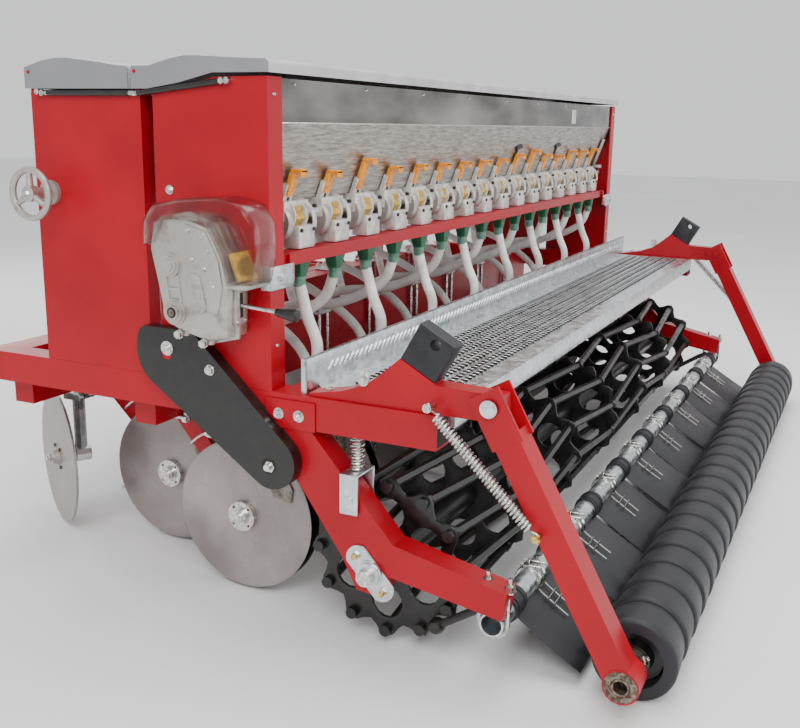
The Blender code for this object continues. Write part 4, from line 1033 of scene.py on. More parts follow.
class DRILL_OT_drive(PieceOperator, bpy.types.Operator):
    """Build the cast gearbox with its cover and lever, the chain case and the handwheel"""

    bl_idname = "drill.drive"
    bl_label = "Drive"

    def execute(self, context):
        self.gearbox()
        self.cover()
        self.chain_case()
        self.handwheel()
        return {"FINISHED"}

    def gearbox(self):
        face, wall = -1.372, -HALF - 0.0004
        outline = [(0.052, 0.644), (0.046, 0.745), (0.060, 0.790), (0.090, 0.852), (0.150, 0.872),
                   (0.218, 0.858), (0.229, 0.806), (0.214, 0.742), (0.203, 0.690), (0.186, 0.660),
                   (0.160, 0.648), (0.096, 0.634)]
        bm = bmesh.new()
        add_plate(bm, outline, face, wall, 0, bevel=0.007)
        rim = [(0.044, 0.640), (0.040, 0.748), (0.056, 0.794), (0.086, 0.858), (0.150, 0.879), (0.223, 0.864),
               (0.236, 0.806), (0.220, 0.742), (0.209, 0.688), (0.190, 0.654), (0.162, 0.642), (0.096, 0.627)]
        add_plate(bm, rim, face + 0.026, face + 0.034, 0, bevel=0.002)
        cover = [(0.058, 0.742), (0.066, 0.792), (0.094, 0.846), (0.140, 0.858), (0.142, 0.790),
                 (0.118, 0.700), (0.070, 0.690)]
        add_plate(bm, cover, face - 0.004, face + 0.002, 0, bevel=0.0015)
        for y, z in ((0.127, 0.791), (0.091, 0.808), (0.099, 0.774), (0.080, 0.741), (0.134, 0.846),
                     (0.100, 0.838)):
            add_pin(bm, (face - 0.0035, y, z), (-1, 0, 0), [(0.0012, 0.0058), (0.0038, 0.0042)], 1, 12)
        upper, lower = (0.180, 0.777), (0.172, 0.686)
        add_pin(bm, (face + 0.002, *upper), (-1, 0, 0), [(0.008, 0.0235), (0.0115, 0.0185), (0.0145, 0.0120)],
                0)
        add_pin(bm, (face + 0.002, *lower), (-1, 0, 0), [(0.006, 0.0260), (0.0105, 0.0215), (0.0145, 0.0145)],
                0)
        # painted shade: a dark disc in the lower boss's bore, under the nut
        add_bar(bm, (face - 0.013, *lower), (face - 0.0122, *lower), 0.0106, 3, 16)
        add_bar(bm, (face - 0.011, *lower), (face - 0.0150, *lower), 0.0082, 2, 6)
        for offset in (-0.0155, 0.0135):
            add_bar(bm, (face, 0.179 + offset, 0.757), (face, 0.173 + offset, 0.706), 0.0034, 0, 8)
        add_block(bm, (face - 0.0032, 0.160, 0.728), (face, 0.189, 0.734), 0, 0.001)
        oval = arc(0.124, 0.748, 0.0185, -20, 160, 8) + arc(0.110, 0.704, 0.0155, 160, 340, 8)
        add_plate(bm, oval, face - 0.0075, face + 0.001, 0, bevel=0.003)
        for y, z in ((0.162, 0.642), (0.104, 0.630)):
            add_pin(bm, (face + 0.018, y, z + 0.006), (0, 0.1, -1), [(0.006, 0.0125), (0.010, 0.0095)], 0, 14)
            add_pin(bm, (face - 0.001, y, z + 0.001), (-1, 0, 0), [(0.0030, 0.0098), (0.0100, 0.0082)], 1, 6)
        rear, mid = 0.0455, -1.338
        add_block(bm, (mid - 0.017, rear - 0.0045, 0.668), (mid + 0.019, rear + 0.004, 0.742), 0, 0.0015)
        # painted shade: a dark block in the lever gate's slot
        add_block(bm, (mid - 0.0045, rear - 0.0052, 0.682), (mid + 0.0045, rear, 0.730), 3)
        for x in (mid - 0.012, mid + 0.014):
            for z in (0.674, 0.736):
                add_pin(bm, (x, rear - 0.004, z), (0, -1, 0), [(0.0010, 0.0048), (0.0034, 0.0036)], 1, 10)
        hand = Vector((-1.341, -0.040, 0.7005))
        root = Vector((mid, rear + 0.004, 0.706))
        tip = hand + (hand - root).normalized() * 0.048
        add_bar(bm, root, hand, 0.0042, 1, 12)
        axis = tip - hand
        add_turned(bm, [(0, 0), (0, 0.0075), (axis.length * 0.35, 0.0098), (axis.length * 0.75, 0.0125),
                        (axis.length * 0.96, 0.0118), (axis.length, 0.009), (axis.length, 0)], hand, axis, 4,
                        16)
        piece("gearbox_housing", bm, [die_cast_housing, bright_zinc, rusty_steel, painted_shade_and_scale_marks, black_enamel],
              stands_for=["gearbox"], slot="cast_aluminium", sharp=40)

        bm = bmesh.new()
        scale = [(-1.377, 0.757), (-1.377, 0.812), (-1.316, 0.812), (-1.316, 0.757)]
        add_plate(bm, scale, 0.018, 0.021, 0, axis=1)
        for k in range(8):
            x = -1.364 + 0.0058 * k
            add_block(bm, (x, 0.0172, 0.765), (x + 0.0024, 0.0190, 0.806 - 0.0030 * abs(k - 5)), 1)
        tilt = Matrix.Rotation(math.radians(-24), 4, "X")
        pivot = Matrix.Translation((0, 0.020, 0.760))
        bmesh.ops.transform(bm, matrix=pivot @ tilt @ pivot.inverted(), verts=bm.verts)
        add_block(bm, (-1.380, 0.0, 0.742), (-1.306, 0.046, 0.752), 2, 0.003)
        piece("gearbox_scale", bm, [yellow_plastic, painted_shade_and_scale_marks, die_cast_housing])

    def cover(self):
        """The blow-moulded hood over the casting's top and its scale."""
        outline = [(0.046, 0.746), (-0.010, 0.752), (-0.021, 0.800), (-0.018, 0.862), (0.004, 0.898),
                   (0.060, 0.911), (0.150, 0.905), (0.212, 0.892), (0.237, 0.862), (0.238, 0.812),
                   (0.214, 0.820), (0.190, 0.868), (0.095, 0.862), (0.058, 0.800)]
        bm = bmesh.new()
        add_plate(bm, outline, -1.384, -HALF - 0.002, 0, bevel=0.009)
        open_side = [face for face in bm.faces if face.calc_center_median().x > -HALF - 0.003]
        bmesh.ops.delete(bm, geom=open_side, context="FACES")
        bmesh.ops.recalc_face_normals(bm, faces=bm.faces)
        bmesh.ops.solidify(bm, geom=bm.faces, thickness=0.0018)
        settle(bm.verts, 0, True)
        piece("gearbox_hood", bm, [clear_cover], sharp=50)

    def chain_case(self):
        outer, inner = -HALF - 0.0303, -HALF - 0.0004
        upper, lower = (0.223, 0.593), (-0.014, 0.394)
        outline = arc(*upper, 0.085, -50, 130, 14) + arc(*lower, 0.055, 130, 310, 12)
        shape = [(y, min(z, 0.640)) for y, z in outline]
        ring = arc(*upper, 0.0835, -50, 130, 14) + arc(*lower, 0.0535, 130, 310, 12)
        ring = [(y, min(z, 0.638)) for y, z in ring]
        hole = slot_hole(0.232, 0.593, 0.006, 0.0125)
        bm = bmesh.new()
        add_plate(bm, shape, outer, outer + 0.0022, 0, [hole[::-1], circle(-0.011, 0.388, 0.0165)[::-1]])
        add_plate(bm, shape, outer + 0.0022, inner, 0, [ring[::-1]])
        add_bar(bm, (outer + 0.001, 0.232, 0.588), (outer + 0.024, 0.232, 0.588), 0.020, 2, 16)
        add_pin(bm, (outer + 0.0005, 0.229, 0.599), (-1, 0, 0),
                [(0.0024, 0.0150), (0.0034, 0.0105), (0.0085, 0.0062)], 1, 18)
        add_pin(bm, (outer + 0.0005, 0.125, 0.566), (-1, 0, 0), [(0.0016, 0.0110), (0.0080, 0.0085)], 1, 14)
        # painted shade: a dark plug behind the lower hole of the case
        add_bar(bm, (outer + 0.001, -0.011, 0.388), (outer + 0.020, -0.011, 0.388), 0.020, 3, 16)
        add_bar(bm, (outer + 0.010, -0.012, 0.386), (outer - 0.002, -0.012, 0.386), 0.0120, 1, 6)
        add_bar(bm, (outer + 0.008, -0.010, 0.386), (outer - 0.010, -0.010, 0.386), 0.0068, 1, 12)
        piece("chain_case_shell", bm, [black_enamel, bright_zinc, red_powder_coat, painted_shade_and_scale_marks],
              stands_for=["chain_case"], slot="black_paint", sharp=40)

    def handwheel(self):
        y, z, x = 0.542, 0.896, -HALF - 0.060
        bm = bmesh.new()
        rim = [(0.0075 * math.cos(angle), 0.049 + 0.0075 * math.sin(angle))
               for angle in (2 * math.pi * k / 10 for k in range(11))]
        add_turned(bm, rim, (x, y, z), (1, 0, 0), 0, 40)
        for k in range(3):
            angle = math.radians(90 + 120 * k)
            end = (x, y + 0.047 * math.cos(angle), z + 0.047 * math.sin(angle))
            add_bar(bm, (x, y, z), end, 0.0085, 0, 10, 0.0055)
        add_turned(bm, [(-0.0125, 0), (-0.0125, 0.010), (-0.009, 0.0165), (0.012, 0.0165), (0.012, 0.0115),
                        (0.0595, 0.0115), (0.0595, 0)], (x, y, z), (1, 0, 0), 0, 20)
        add_bolt(bm, (x - 0.0122, y, z), (-1, 0, 0), 0.012, 1, 1)
        add_turned(bm, [(0.050, 0.0115), (0.050, 0.026), (0.0597, 0.026), (0.0597, 0.0115)], (x, y, z),
                   (1, 0, 0), 0, 20)
        piece("handwheel_casting", bm, [die_cast_housing, bright_zinc], stands_for=["handwheel"],
              slot="cast_aluminium")


# Discs


def disc_hub(bm):
    """The flanges on both outer faces of a pair of discs, each with its rivets and cap."""
    for side in (-1, 1):
        add_pin(bm, (side * 0.0195, 0, 0), (side, 0, 0),
                [(0.014, 0.0345), (0.018, 0.0205), (0.0245, 0.0175), (0.0300, 0.0120)], 0, 24)
        for k in range(4):
            angle = math.radians(45 + 90 * k)
            y, z = 0.0275 * math.cos(angle), 0.0275 * math.sin(angle)
            add_bar(bm, (side * 0.033, y, z), (side * 0.0358, y, z), 0.0036, 1, 8, 0.002)
        # painted shade: the far disc of each pair is black enamel, the near one bare steel
        disc = [(-0.0035, 0.0345), (0.0006, 0.0345), (0.0006, 0.1700), (-0.0022, 0.1748), (-0.0035, 0.1742),
                (-0.0035, 0.0345)]
        add_turned(bm, disc, (side * 0.0195, 0, 0), (side, 0, 0), 2 if side < 0 else 3, 56)
    add_turned(bm, [(-0.0195, 0), (-0.0195, 0.0345), (-0.016, 0.0345), (-0.016, 0.022), (0.016, 0.022),
                    (0.016, 0.0345), (0.0195, 0.0345), (0.0195, 0)], (0, 0, 0), (1, 0, 0), 1, 24)


class DRILL_OT_discs(PieceOperator, bpy.types.Operator):
    """Build the opener discs' hubs and scrapers, and the edge discs' bushes and clamps"""

    bl_idname = "drill.discs"
    bl_label = "Discs"

    def execute(self, context):
        for row in range(ROWS):
            name = f"opener_discs_{row + 1:02d}"
            low, high = local_box(name)
            piece_of_copies(f"opener_hub_{row + 1:02d}", disc_hub, [Matrix.Translation((low + high) / 2)],
                            [bright_zinc, rusty_steel, varnished_disc_steel, black_enamel],
                            body=name, stands_for=[name], slot="disc_steel")

        def scraper(bm):
            for x0, x1 in ((-0.0390, -0.0260), (0.0260, 0.0390)):
                curve = arc(0.215, 0.250, 0.130, 42, 78, 6) + arc(0.215, 0.250, 0.125, 78, 42, 6)
                add_plate(bm, curve, x0, x1, 0, bevel=0.0008)
            add_block(bm, (-0.041, 0.236, 0.358), (0.041, 0.262, 0.380), 1, 0.002)
            for y in (0.242, 0.256):
                add_pin(bm, (-0.041, y, 0.369), (-1, 0, 0), [(0.002, 0.0080), (0.0080, 0.0060)], 0, 10)
            wing = [(0.118, 0.300), (0.108, 0.318), (0.070, 0.310), (0.046, 0.262), (0.052, 0.232),
                    (0.098, 0.244)]
            for x in (-0.0275, 0.0260):
                add_plate(bm, wing, x, x + 0.0015, 2, bevel=0.0004)
            add_block(bm, (-0.027, 0.088, 0.305), (0.027, 0.116, 0.317), 2, 0.001)
            add_pin(bm, (-0.027, 0.102, 0.296), (-1, 0, 0), [(0.0015, 0.0070), (0.0060, 0.0050)], 0, 10)

        rear = [(row_x(row), 0, 0) for row in range(0, ROWS, 2)]
        front = [(row_x(row), 0.320, 0) for row in range(1, ROWS, 2)]
        piece_of_copies("opener_scrapers", scraper, shifts(*rear, *front),
                        [bright_zinc, galvanised, dusty_sheet])

        paint_part(varnished_disc_steel, "edge_disc_left", "edge_disc_right")
        for side, word in ((-1, "left"), (1, "right")):
            disc_low, disc_high = local_box(f"edge_disc_{word}")
            hub = Vector((side * EDGE_HUB_X, EDGE_HUB_Y, (disc_low.z + disc_high.z) / 2))
            out = Vector((side * math.cos(EDGE_DISC_TURN), math.sin(EDGE_DISC_TURN), 0))
            face = hub + out * 0.016
            bm = bmesh.new()
            add_pin(bm, face, out, [(0.003, 0.0155), (0.0120, 0.0125), (0.0170, 0.0080)], 0, 6)
            for k in range(4):
                angle = math.radians(45 + 90 * k)
                along = Vector((-out.y, out.x, 0)) * 0.034 * math.cos(angle)
                spot = hub + along + Vector((0, 0, 0.034 * math.sin(angle)))
                add_bar(bm, spot - out * 0.006, spot + out * 0.0075, 0.0048, 1, 8)
            piece(f"edge_hub_{word}", bm, [bright_zinc, rusty_steel], f"edge_disc_{word}")
            bm = bmesh.new()
            y = 0.809
            x = side * (EDGE_HUB_X - 0.058 * math.cos(EDGE_DISC_TURN))
            for z in (0.345, 0.395):
                add_block(bm, (x - 0.030, y - 0.030, z - 0.011), (x + 0.030, y + 0.024, z + 0.011), 0, 0.003)
                add_bolt(bm, (x - 0.020, y - 0.030, z), (0, -1, 0), 0.012, 1, 1)
                add_bolt(bm, (x + 0.020, y - 0.030, z), (0, -1, 0), 0.012, 1, 1)
            for dx in (-0.022, 0.022):
                add_bolt(bm, (x + dx, 0.782 + 0.045, FRAME_HIGH.z - 0.030), (0, 1, 0), 0.016, 1, 1)
            piece(f"edge_disc_clamp_{word}", bm, [galvanised, bright_zinc])
        return {"FINISHED"}


# Rollers


def cage_plate(bm, x0, x1):
    """A lobed plate with a ring of large cut-outs."""
    outline = []
    for k in range(72):
        angle = math.radians(5 * k)
        reach = 0.1595 + 0.0145 * math.cos(12 * angle)
        outline.append((CAGE_Y + reach * math.cos(angle), CAGE_Z + reach * math.sin(angle)))
    holes = []
    for k in range(6):
        angle = math.radians(30 + 60 * k)
        middle = (CAGE_Y + 0.096 * math.cos(angle), CAGE_Z + 0.096 * math.sin(angle))
        holes.append(circle(*middle, 0.0345, 14)[::-1])
    add_plate(bm, outline, x0, x1, 0, holes, bevel=0.0012)


class DRILL_OT_cage_roller(PieceOperator, bpy.types.Operator):
    """Build the black cage roller with its lobed plates, zigzag bars and knobs"""

    bl_idname = "drill.cage_roller"
    bl_label = "Cage roller"

    def execute(self, context):
        low, high = local_box("cage_roller")
        half, count, sheet = 1.220, 7, 0.008
        spacing = (2 * half - sheet) / (count - 1)
        places = [-half + sheet / 2 + k * spacing for k in range(count)]
        bm = bmesh.new()
        lay_copies(bm, lambda one: cage_plate(one, -sheet / 2, sheet / 2),
                   shifts(*((x, 0, 0) for x in places)))
        reach = 0.1560
        for index in range(12):
            nodes = []
            for k, x in enumerate(places):
                angle = 2 * math.pi * (index + (0 if k % 2 == 0 else 0.5)) / 12
                nodes.append(Vector((x, CAGE_Y + reach * math.cos(angle), CAGE_Z + reach * math.sin(angle))))
            for start, end in zip(nodes, nodes[1:]):
                add_bar(bm, start, end, 0.0105, 0, 6)
            for k, node in enumerate(nodes):
                reach_out = 0.017 if k in (0, count - 1) else 0.009
                add_bar(bm, node - Vector((reach_out, 0, 0)), node + Vector((reach_out, 0, 0)), 0.0125, 0, 10)
        tube = [(low.x, 0), (low.x, 0.020), (-1.221, 0.020), (-1.221, 0.032), (1.221, 0.032),
                (1.221, 0.020), (high.x, 0.020), (high.x, 0)]
        add_turned(bm, tube, (0, CAGE_Y, CAGE_Z), (1, 0, 0), 0, 20)
        piece("cage_roller_welded", bm, [black_enamel], "cage_packer", ["cage_roller"], "black_paint", 40)
        return {"FINISHED"}


class DRILL_OT_press_roller(PieceOperator, bpy.types.Operator):
    """Build the press roller's stacked rubber rings, its steel hubs and its axle"""

    bl_idname = "drill.press_roller"
    bl_label = "Press roller"

    def execute(self, context):
        count = context.scene.drill_sizes.ring_count
        low, high = local_box("press_roller_rings")
        centre = (low + high) / 2
        outer, length = (high.z - low.z) / 2, (high.x - low.x) / count
        bm = bmesh.new()
        ring = [(0.0, 0.056), (0.0, outer - 0.0080), (0.0010, outer - 0.0035), (0.004, outer - 0.0008),
                (0.010, outer), (0.030, outer - 0.0006), (length * 0.62, outer - 0.0022),
                (length * 0.90, outer - 0.0045),
                (length, outer - 0.0070), (length, 0.056), (0.0, 0.056)]
        start = Vector((low.x, centre.y, centre.z))
        lay_copies(bm, lambda one: add_turned(one, ring, start, (1, 0, 0), 0, 48),
                   shifts(*((length * k, 0, 0) for k in range(count))))
        piece("press_roller_stack", bm, [moulded_rubber], "press_packer", ["press_roller_rings"],
              "black_rubber", 38)

        end = local_box("press_roller_core")[1].x - centre.x
        bm = bmesh.new()
        inner = 1.200 - 0.030
        add_turned(bm, [(-end + 0.030, 0.0), (-end + 0.030, 0.0130), (-end, 0.0130), (-end, 0.0172),
                        (-inner, 0.0172), (-inner, 0.0525), (inner, 0.0525), (inner, 0.0172), (end, 0.0172),
                        (end, 0.0130), (end - 0.030, 0.0130), (end - 0.030, 0.0)], centre, (1, 0, 0), 0, 28)
        for side in (-1, 1):
            hub = Vector((side * 1.1695, centre.y, centre.z))
            add_turned(bm, [(0.0, 0.0175), (0.0, 0.050), (0.004, 0.050), (0.004, 0.034), (0.026, 0.030),
                            (0.030, 0.0175)], hub, (side, 0, 0), 1, 28)
            add_turned(bm, [(0.028, 0.0175), (0.028, 0.0255), (0.046, 0.0255), (0.046, 0.0175)], hub,
                       (side, 0, 0), 0, 24)
            screw = hub + Vector((side * 0.037, 0, 0))
            add_bar(bm, screw, screw + Vector((0, -0.030, 0.018)), 0.0045, 2, 8)
            add_bolt(bm, screw + Vector((0, -0.0215, 0.0130)), (0, -0.030, 0.018), 0.012, 2, 2)
        piece("press_roller_hubs", bm, [rusty_steel, black_enamel, bright_zinc], "press_packer",
              ["press_roller_core"], "galvanised_steel")
        return {"FINISHED"}


class DRILL_OT_flaps(PieceOperator, bpy.types.Operator):
    """Build the cross pipe with its clamps, rubber flaps and scraper rods"""

    bl_idname = "drill.flaps"
    bl_label = "Flaps"

    def execute(self, context):
        y, z, radius, half = PIPE_Y, PIPE_Z, PIPE_RADIUS, local_box("flap_pipe")[1].x - 0.0005
        bm = bmesh.new()
        add_turned(bm, [(-half, radius - 0.0035), (-half, radius), (half, radius), (half, radius - 0.0035),
                        (half - 0.120, radius - 0.0035), (half - 0.120, 0), (-half + 0.120, 0),
                        (-half + 0.120, radius - 0.0035), (-half, radius - 0.0035)], (0, y, z), (1, 0, 0), 0,
                        28)
        middles = [row_x(2 * k) + 0.075 for k in range(ROWS // 2)]
        for x in [-1.185] + [m + 0.150 for m in middles[:-1]] + [1.185]:
            for dx, reach, inner, outer in ((0, 0.030, 0, 0.0045), (-0.017, 0.0030, 0.0040, 0.0060),
                                            (0.017, 0.0030, 0.0040, 0.0060)):
                sleeve = [(-reach, radius + inner), (-reach, radius + outer), (reach, radius + outer),
                          (reach, radius + inner)]
                add_turned(bm, sleeve, (x + dx, y, z), (1, 0, 0), 1, 24)
        piece("flap_pipe_tube", bm, [galvanised, moulded_rubber], stands_for=["flap_pipe"],
              slot="galvanised_steel")

        def clamp(one):
            band = [(-0.0062, 0.0002), (-0.0062, 0.0042), (-0.0030, 0.0062), (0.0030, 0.0062),
                    (0.0062, 0.0042), (0.0062, 0.0002)]
            top = z + radius
            for dx in (-0.014, 0.012):
                add_turned(one, [(along, radius + out) for along, out in band], (dx, y, z), (1, 0, 0), 0, 22)
            for dx in (-0.014, 0.012):
                add_block(one, (dx - 0.007, y - 0.014, top + 0.002), (dx + 0.007, y + 0.012, top + 0.010), 0,
                          0.0018)
                add_bar(one, (dx, y - 0.026, top + 0.006), (dx, y + 0.020, top + 0.006), 0.0028, 0, 8)
            wire = [(-0.018, y, top + 0.006), (-0.004, y + 0.004, top + 0.014),
                    (0.002, y - 0.004, top + 0.022), (-0.006, y - 0.012, top + 0.026)]
            add_sweep(one, smooth_line(wire, 3), 0.0014, 0, 6)

        piece_of_copies("flap_pipe_clamps", clamp, shifts(*((m, 0, 0) for m in middles)), [bright_zinc])

        drop = [(-0.4845, 0.118), (-0.505, 0.104), (-0.535, 0.085), (-0.570, 0.063), (-0.600, 0.045),
                (-0.622, 0.033)]
        thick = 0.0042
        under = [(a - 0.0022, b - thick) for a, b in reversed(drop)]

        def flap(one):
            add_plate(one, drop + under, -0.141, 0.141, 0, bevel=0.0010)

        def fingers(one):
            lift = 0.0050
            for x in (-0.018, 0.020):
                wire = [(x, y - 0.012, z - radius - 0.001), (x, -0.486, 0.126)]
                wire += [(x, a, b + lift) for a, b in ((-0.500, 0.109), (-0.530, 0.090), (-0.560, 0.0715))]
                add_sweep(one, smooth_line(wire, 3), 0.0024, 0, 6)
            for a, b in ((-0.518, 0.0985), (-0.532, 0.0900)):
                add_bar(one, (-0.028, a, b + lift + 0.003), (0.030, a, b + lift + 0.003), 0.0024, 0, 6)

        bm = bmesh.new()
        places = []
        for k, m in enumerate(middles):
            tip = Matrix.Rotation(math.radians((1.6, -0.8, 0.9, -1.2, 1.0, -0.6, 0.5, -1.0)[k]), 4, "X")
            hang = Matrix.Translation((m, y, z))
            places.append(hang @ tip @ Matrix.Translation((0, -y, -z)))
        lay_copies(bm, flap, places)
        piece("rubber_flaps", bm, [flap_rubber], slot="black_rubber")
        piece_of_copies("flap_wire_fingers", fingers, places, [bright_zinc])

        def scraper_rod(one):
            add_sweep(one, [(-1.238, -0.457, 0.152), (-1.238, -0.430, 0.138), (-1.238, -0.345, 0.082)],
                      0.0085, 0, 10)
            knob = [(-0.016, 0), (-0.014, 0.012), (-0.006, 0.0165), (0.006, 0.0165), (0.014, 0.012),
                    (0.016, 0)]
            add_turned(one, knob, (-1.238, -0.340, 0.079), (1, 0, 0), 0, 14)

        piece_of_copies("pipe_scraper_rods", scraper_rod, BOTH_ENDS, [black_enamel])
        return {"FINISHED"}


# Springs and fittings of the arms


def add_coil(bm, start, end, radius, wire, turns):
    """A coil spring between two points; returns its ends."""
    steps = 10
    start, end = Vector(start), Vector(end)
    turn = facing(end - start).to_3x3()
    length = (end - start).length
    line = []
    for k in range(turns * steps + 1):
        angle = 2 * math.pi * k / steps
        spot = Vector((radius * math.cos(angle), radius * math.sin(angle), length * k / (turns * steps)))
        line.append(start + turn @ spot)
    add_sweep(bm, line, wire, 0, 6)
    return line[0], line[-1]


class DRILL_OT_arm_fittings(PieceOperator, bpy.types.Operator):
    """Build the springs, bearings, bolts and rubber blocks of the rear arms"""

    bl_idname = "drill.arm_fittings"
    bl_label = "Arm fittings"

    def execute(self, context):
        turns = context.scene.drill_sizes.spring_turns

        def tension_spring(bm):
            x = -1.317
            top, foot = Vector((x, -0.345, 0.550)), Vector((x, -0.560, 0.340))
            along = (foot - top).normalized()
            first, last = add_coil(bm, top + along * 0.020, foot - along * 0.020, 0.0098, 0.0023, turns)
            for eye, near, sign in ((top, first, 1), (foot, last, -1)):
                hook = [near, eye + along * 0.010 * sign + Vector((0, 0.004, 0.005)),
                        eye + Vector((-0.004, -0.003, 0.008)), eye - along * 0.007 * sign,
                        eye + Vector((0.006, 0.003, -0.006))]
                add_sweep(bm, smooth_line(hook, 4), 0.0023, 0, 6)
            add_bar(bm, (x - 0.008, *top.yz), (-1.2925, *top.yz), 0.0060, 0, 12)
            add_bar(bm, (x - 0.008, *foot.yz), (-1.3015, *foot.yz), 0.0055, 1, 12)
            for spot, finish in ((top, 0), (foot, 1)):
                add_pin(bm, (x - 0.0035, *spot.yz), (-1, 0, 0), [(0.0030, 0.0088), (0.0075, 0.0070)], finish,
                        12)

        piece_of_copies("press_arm_coils", tension_spring, BOTH_ENDS, [bright_zinc, yellow_zinc],
                        stands_for=["press_arm_spring_left", "press_arm_spring_right"],
                        slot="galvanised_steel", sharp=60)

        def buffer(bm):
            outline = [(-0.3452, 0.5893), (-0.2752, 0.6283), (-0.3142, 0.6982), (-0.3841, 0.6592)]
            add_plate(bm, outline, -1.291, -1.249, 0, [circle(-0.3450, 0.6600, 0.0100, 14)[::-1]],
                      bevel=0.0022)

        piece_of_copies("rubber_buffer_blocks", buffer, BOTH_ENDS, [moulded_rubber],
                        stands_for=["rubber_buffer_left", "rubber_buffer_right"], slot="black_rubber")

        def fittings(bm):
            add_turned(bm, [(0, 0.0), (0, 0.0135), (0.002, 0.0135), (0.002, 0)], (-1.292, -0.200, 0.585),
                       (-1, 0, 0), 0, 18)
            add_bolt(bm, (-1.2935, -0.200, 0.578), (-1, 0, 0), 0.014, 0, 0)
            add_bolt(bm, (-1.270, -0.115, FRAME_HIGH.z + 0.004), (0, 0, 1), 0.017, 0, 0)
            add_pin(bm, (-1.306, -0.457, 0.560), (-1, 0, 0), [(0.0035, 0.0165), (0.0060, 0.0125)], 1, 20)
            plate = [(-0.100, 0.461), (0.012, 0.461), (0.012, 0.520), (-0.100, 0.520)]
            add_plate(bm, plate, -1.3042, -1.3005, 2, bevel=0.001)
            for y, z in ((-0.064, 0.490), (-0.018, 0.490)):
                add_bolt(bm, (-1.304, y, z), (-1, 0, 0), 0.014, 0, 0)
            self.bearing(bm)
            self.depth_spring(bm)
            for y in (-0.456, -0.500):
                slope = 0.2115 + (y + 0.456) * 0.16
                add_bar(bm, (-1.272, y, slope - 0.004), (-1.272, y, slope + 0.026), 0.0055, 0, 10)
                add_bar(bm, (-1.272, y, slope - 0.002), (-1.272, y, slope + 0.0015), 0.0125, 0, 16)
                add_bar(bm, (-1.272, y, slope + 0.0015), (-1.272, y, slope + 0.0110), 0.0105, 0, 6)
            bow = [(-1.272, y, z) for y, z in arc(PIPE_Y, PIPE_Z, PIPE_RADIUS + 0.0045, 180, 360, 8)]
            add_sweep(bm, [(-1.272, -0.4985, 0.190), *bow, (-1.272, -0.4415, 0.190)], 0.0050, 0, 8)
            # painted shade: a dark sheet just inside the open end of the frame's side tube
            add_block(bm, (-1.2945, -0.3553, FRAME_LOW.z + 0.006), (-1.2455, -0.3535, FRAME_HIGH.z - 0.006),
                      3)
            add_turned(bm, [(0, 0.0185), (0, 0.0305), (0.0012, 0.0305), (0.0012, 0.0185)],
                       (-1.3008, -0.722, 0.082), (-1, 0, 0), 4, 28)

        piece_of_copies("arm_fittings", fittings, BOTH_ENDS,
                        [bright_zinc, galvanised, red_powder_coat, painted_shade_and_scale_marks, rusty_steel, yellow_zinc])
        return {"FINISHED"}

    def bearing(self, bm):
        """The pressed flange bearing that carries the cage roller's stub."""
        y, z = -0.223, 0.193
        along = Vector((0.68, 0.733))
        outline = []
        for first, reach in ((-48, 0.034), (132, 0.034)):
            middle = Vector((y, z)) + along * (reach if first < 0 else -reach)
            base = math.degrees(math.atan2(along.y, along.x)) + (0 if first < 0 else 180)
            outline += arc(middle.x, middle.y, 0.030, base - 62, base + 62, 8)
        add_plate(bm, outline, -1.3055, -1.3005, 1, bevel=0.0016)
        add_pin(bm, (-1.305, y, z), (-1, 0, 0), [(0.006, 0.0285), (0.011, 0.0245)], 1, 28)
        add_pin(bm, (-1.315, y + 0.003, z - 0.003), (-1, 0, 0), [(0.0062, 0.0180), (0.0140, 0.0155)], 0, 24)
        for side in (-1, 1):
            spot = Vector((y, z)) + along * side * 0.0445
            add_pin(bm, (-1.305, *spot), (-1, 0, 0), [(0.0020, 0.0110), (0.0060, 0.0085)], 0, 6)
            add_pin(bm, (-1.310, *spot), (-1, 0, 0), [(0.0060, 0.0058)], 5, 10)

    def depth_spring(self, bm):
        """The short spring over the steel yoke that straddles the roller arm."""
        x, y = -1.272, -0.177
        add_coil(bm, (x, y, 0.391), (x, y, FRAME_LOW.z - 0.001), 0.0135, 0.0021, 12)
        add_bar(bm, (x, y, 0.385), (x, y, FRAME_LOW.z + 0.002), 0.0060, 0, 10)
        add_block(bm, (-1.3095, y - 0.020, 0.3845), (-1.2345, y + 0.020, 0.3905), 1, 0.0025)
        for cheek in (-1.3095, -1.2405):
            add_block(bm, (cheek, y - 0.020, 0.308), (cheek + 0.0055, y + 0.020, 0.3890), 1, 0.0022)
        add_pin(bm, (-1.3090, y, 0.335), (-1, 0, 0), [(0.0055, 0.0110)], 1, 18)


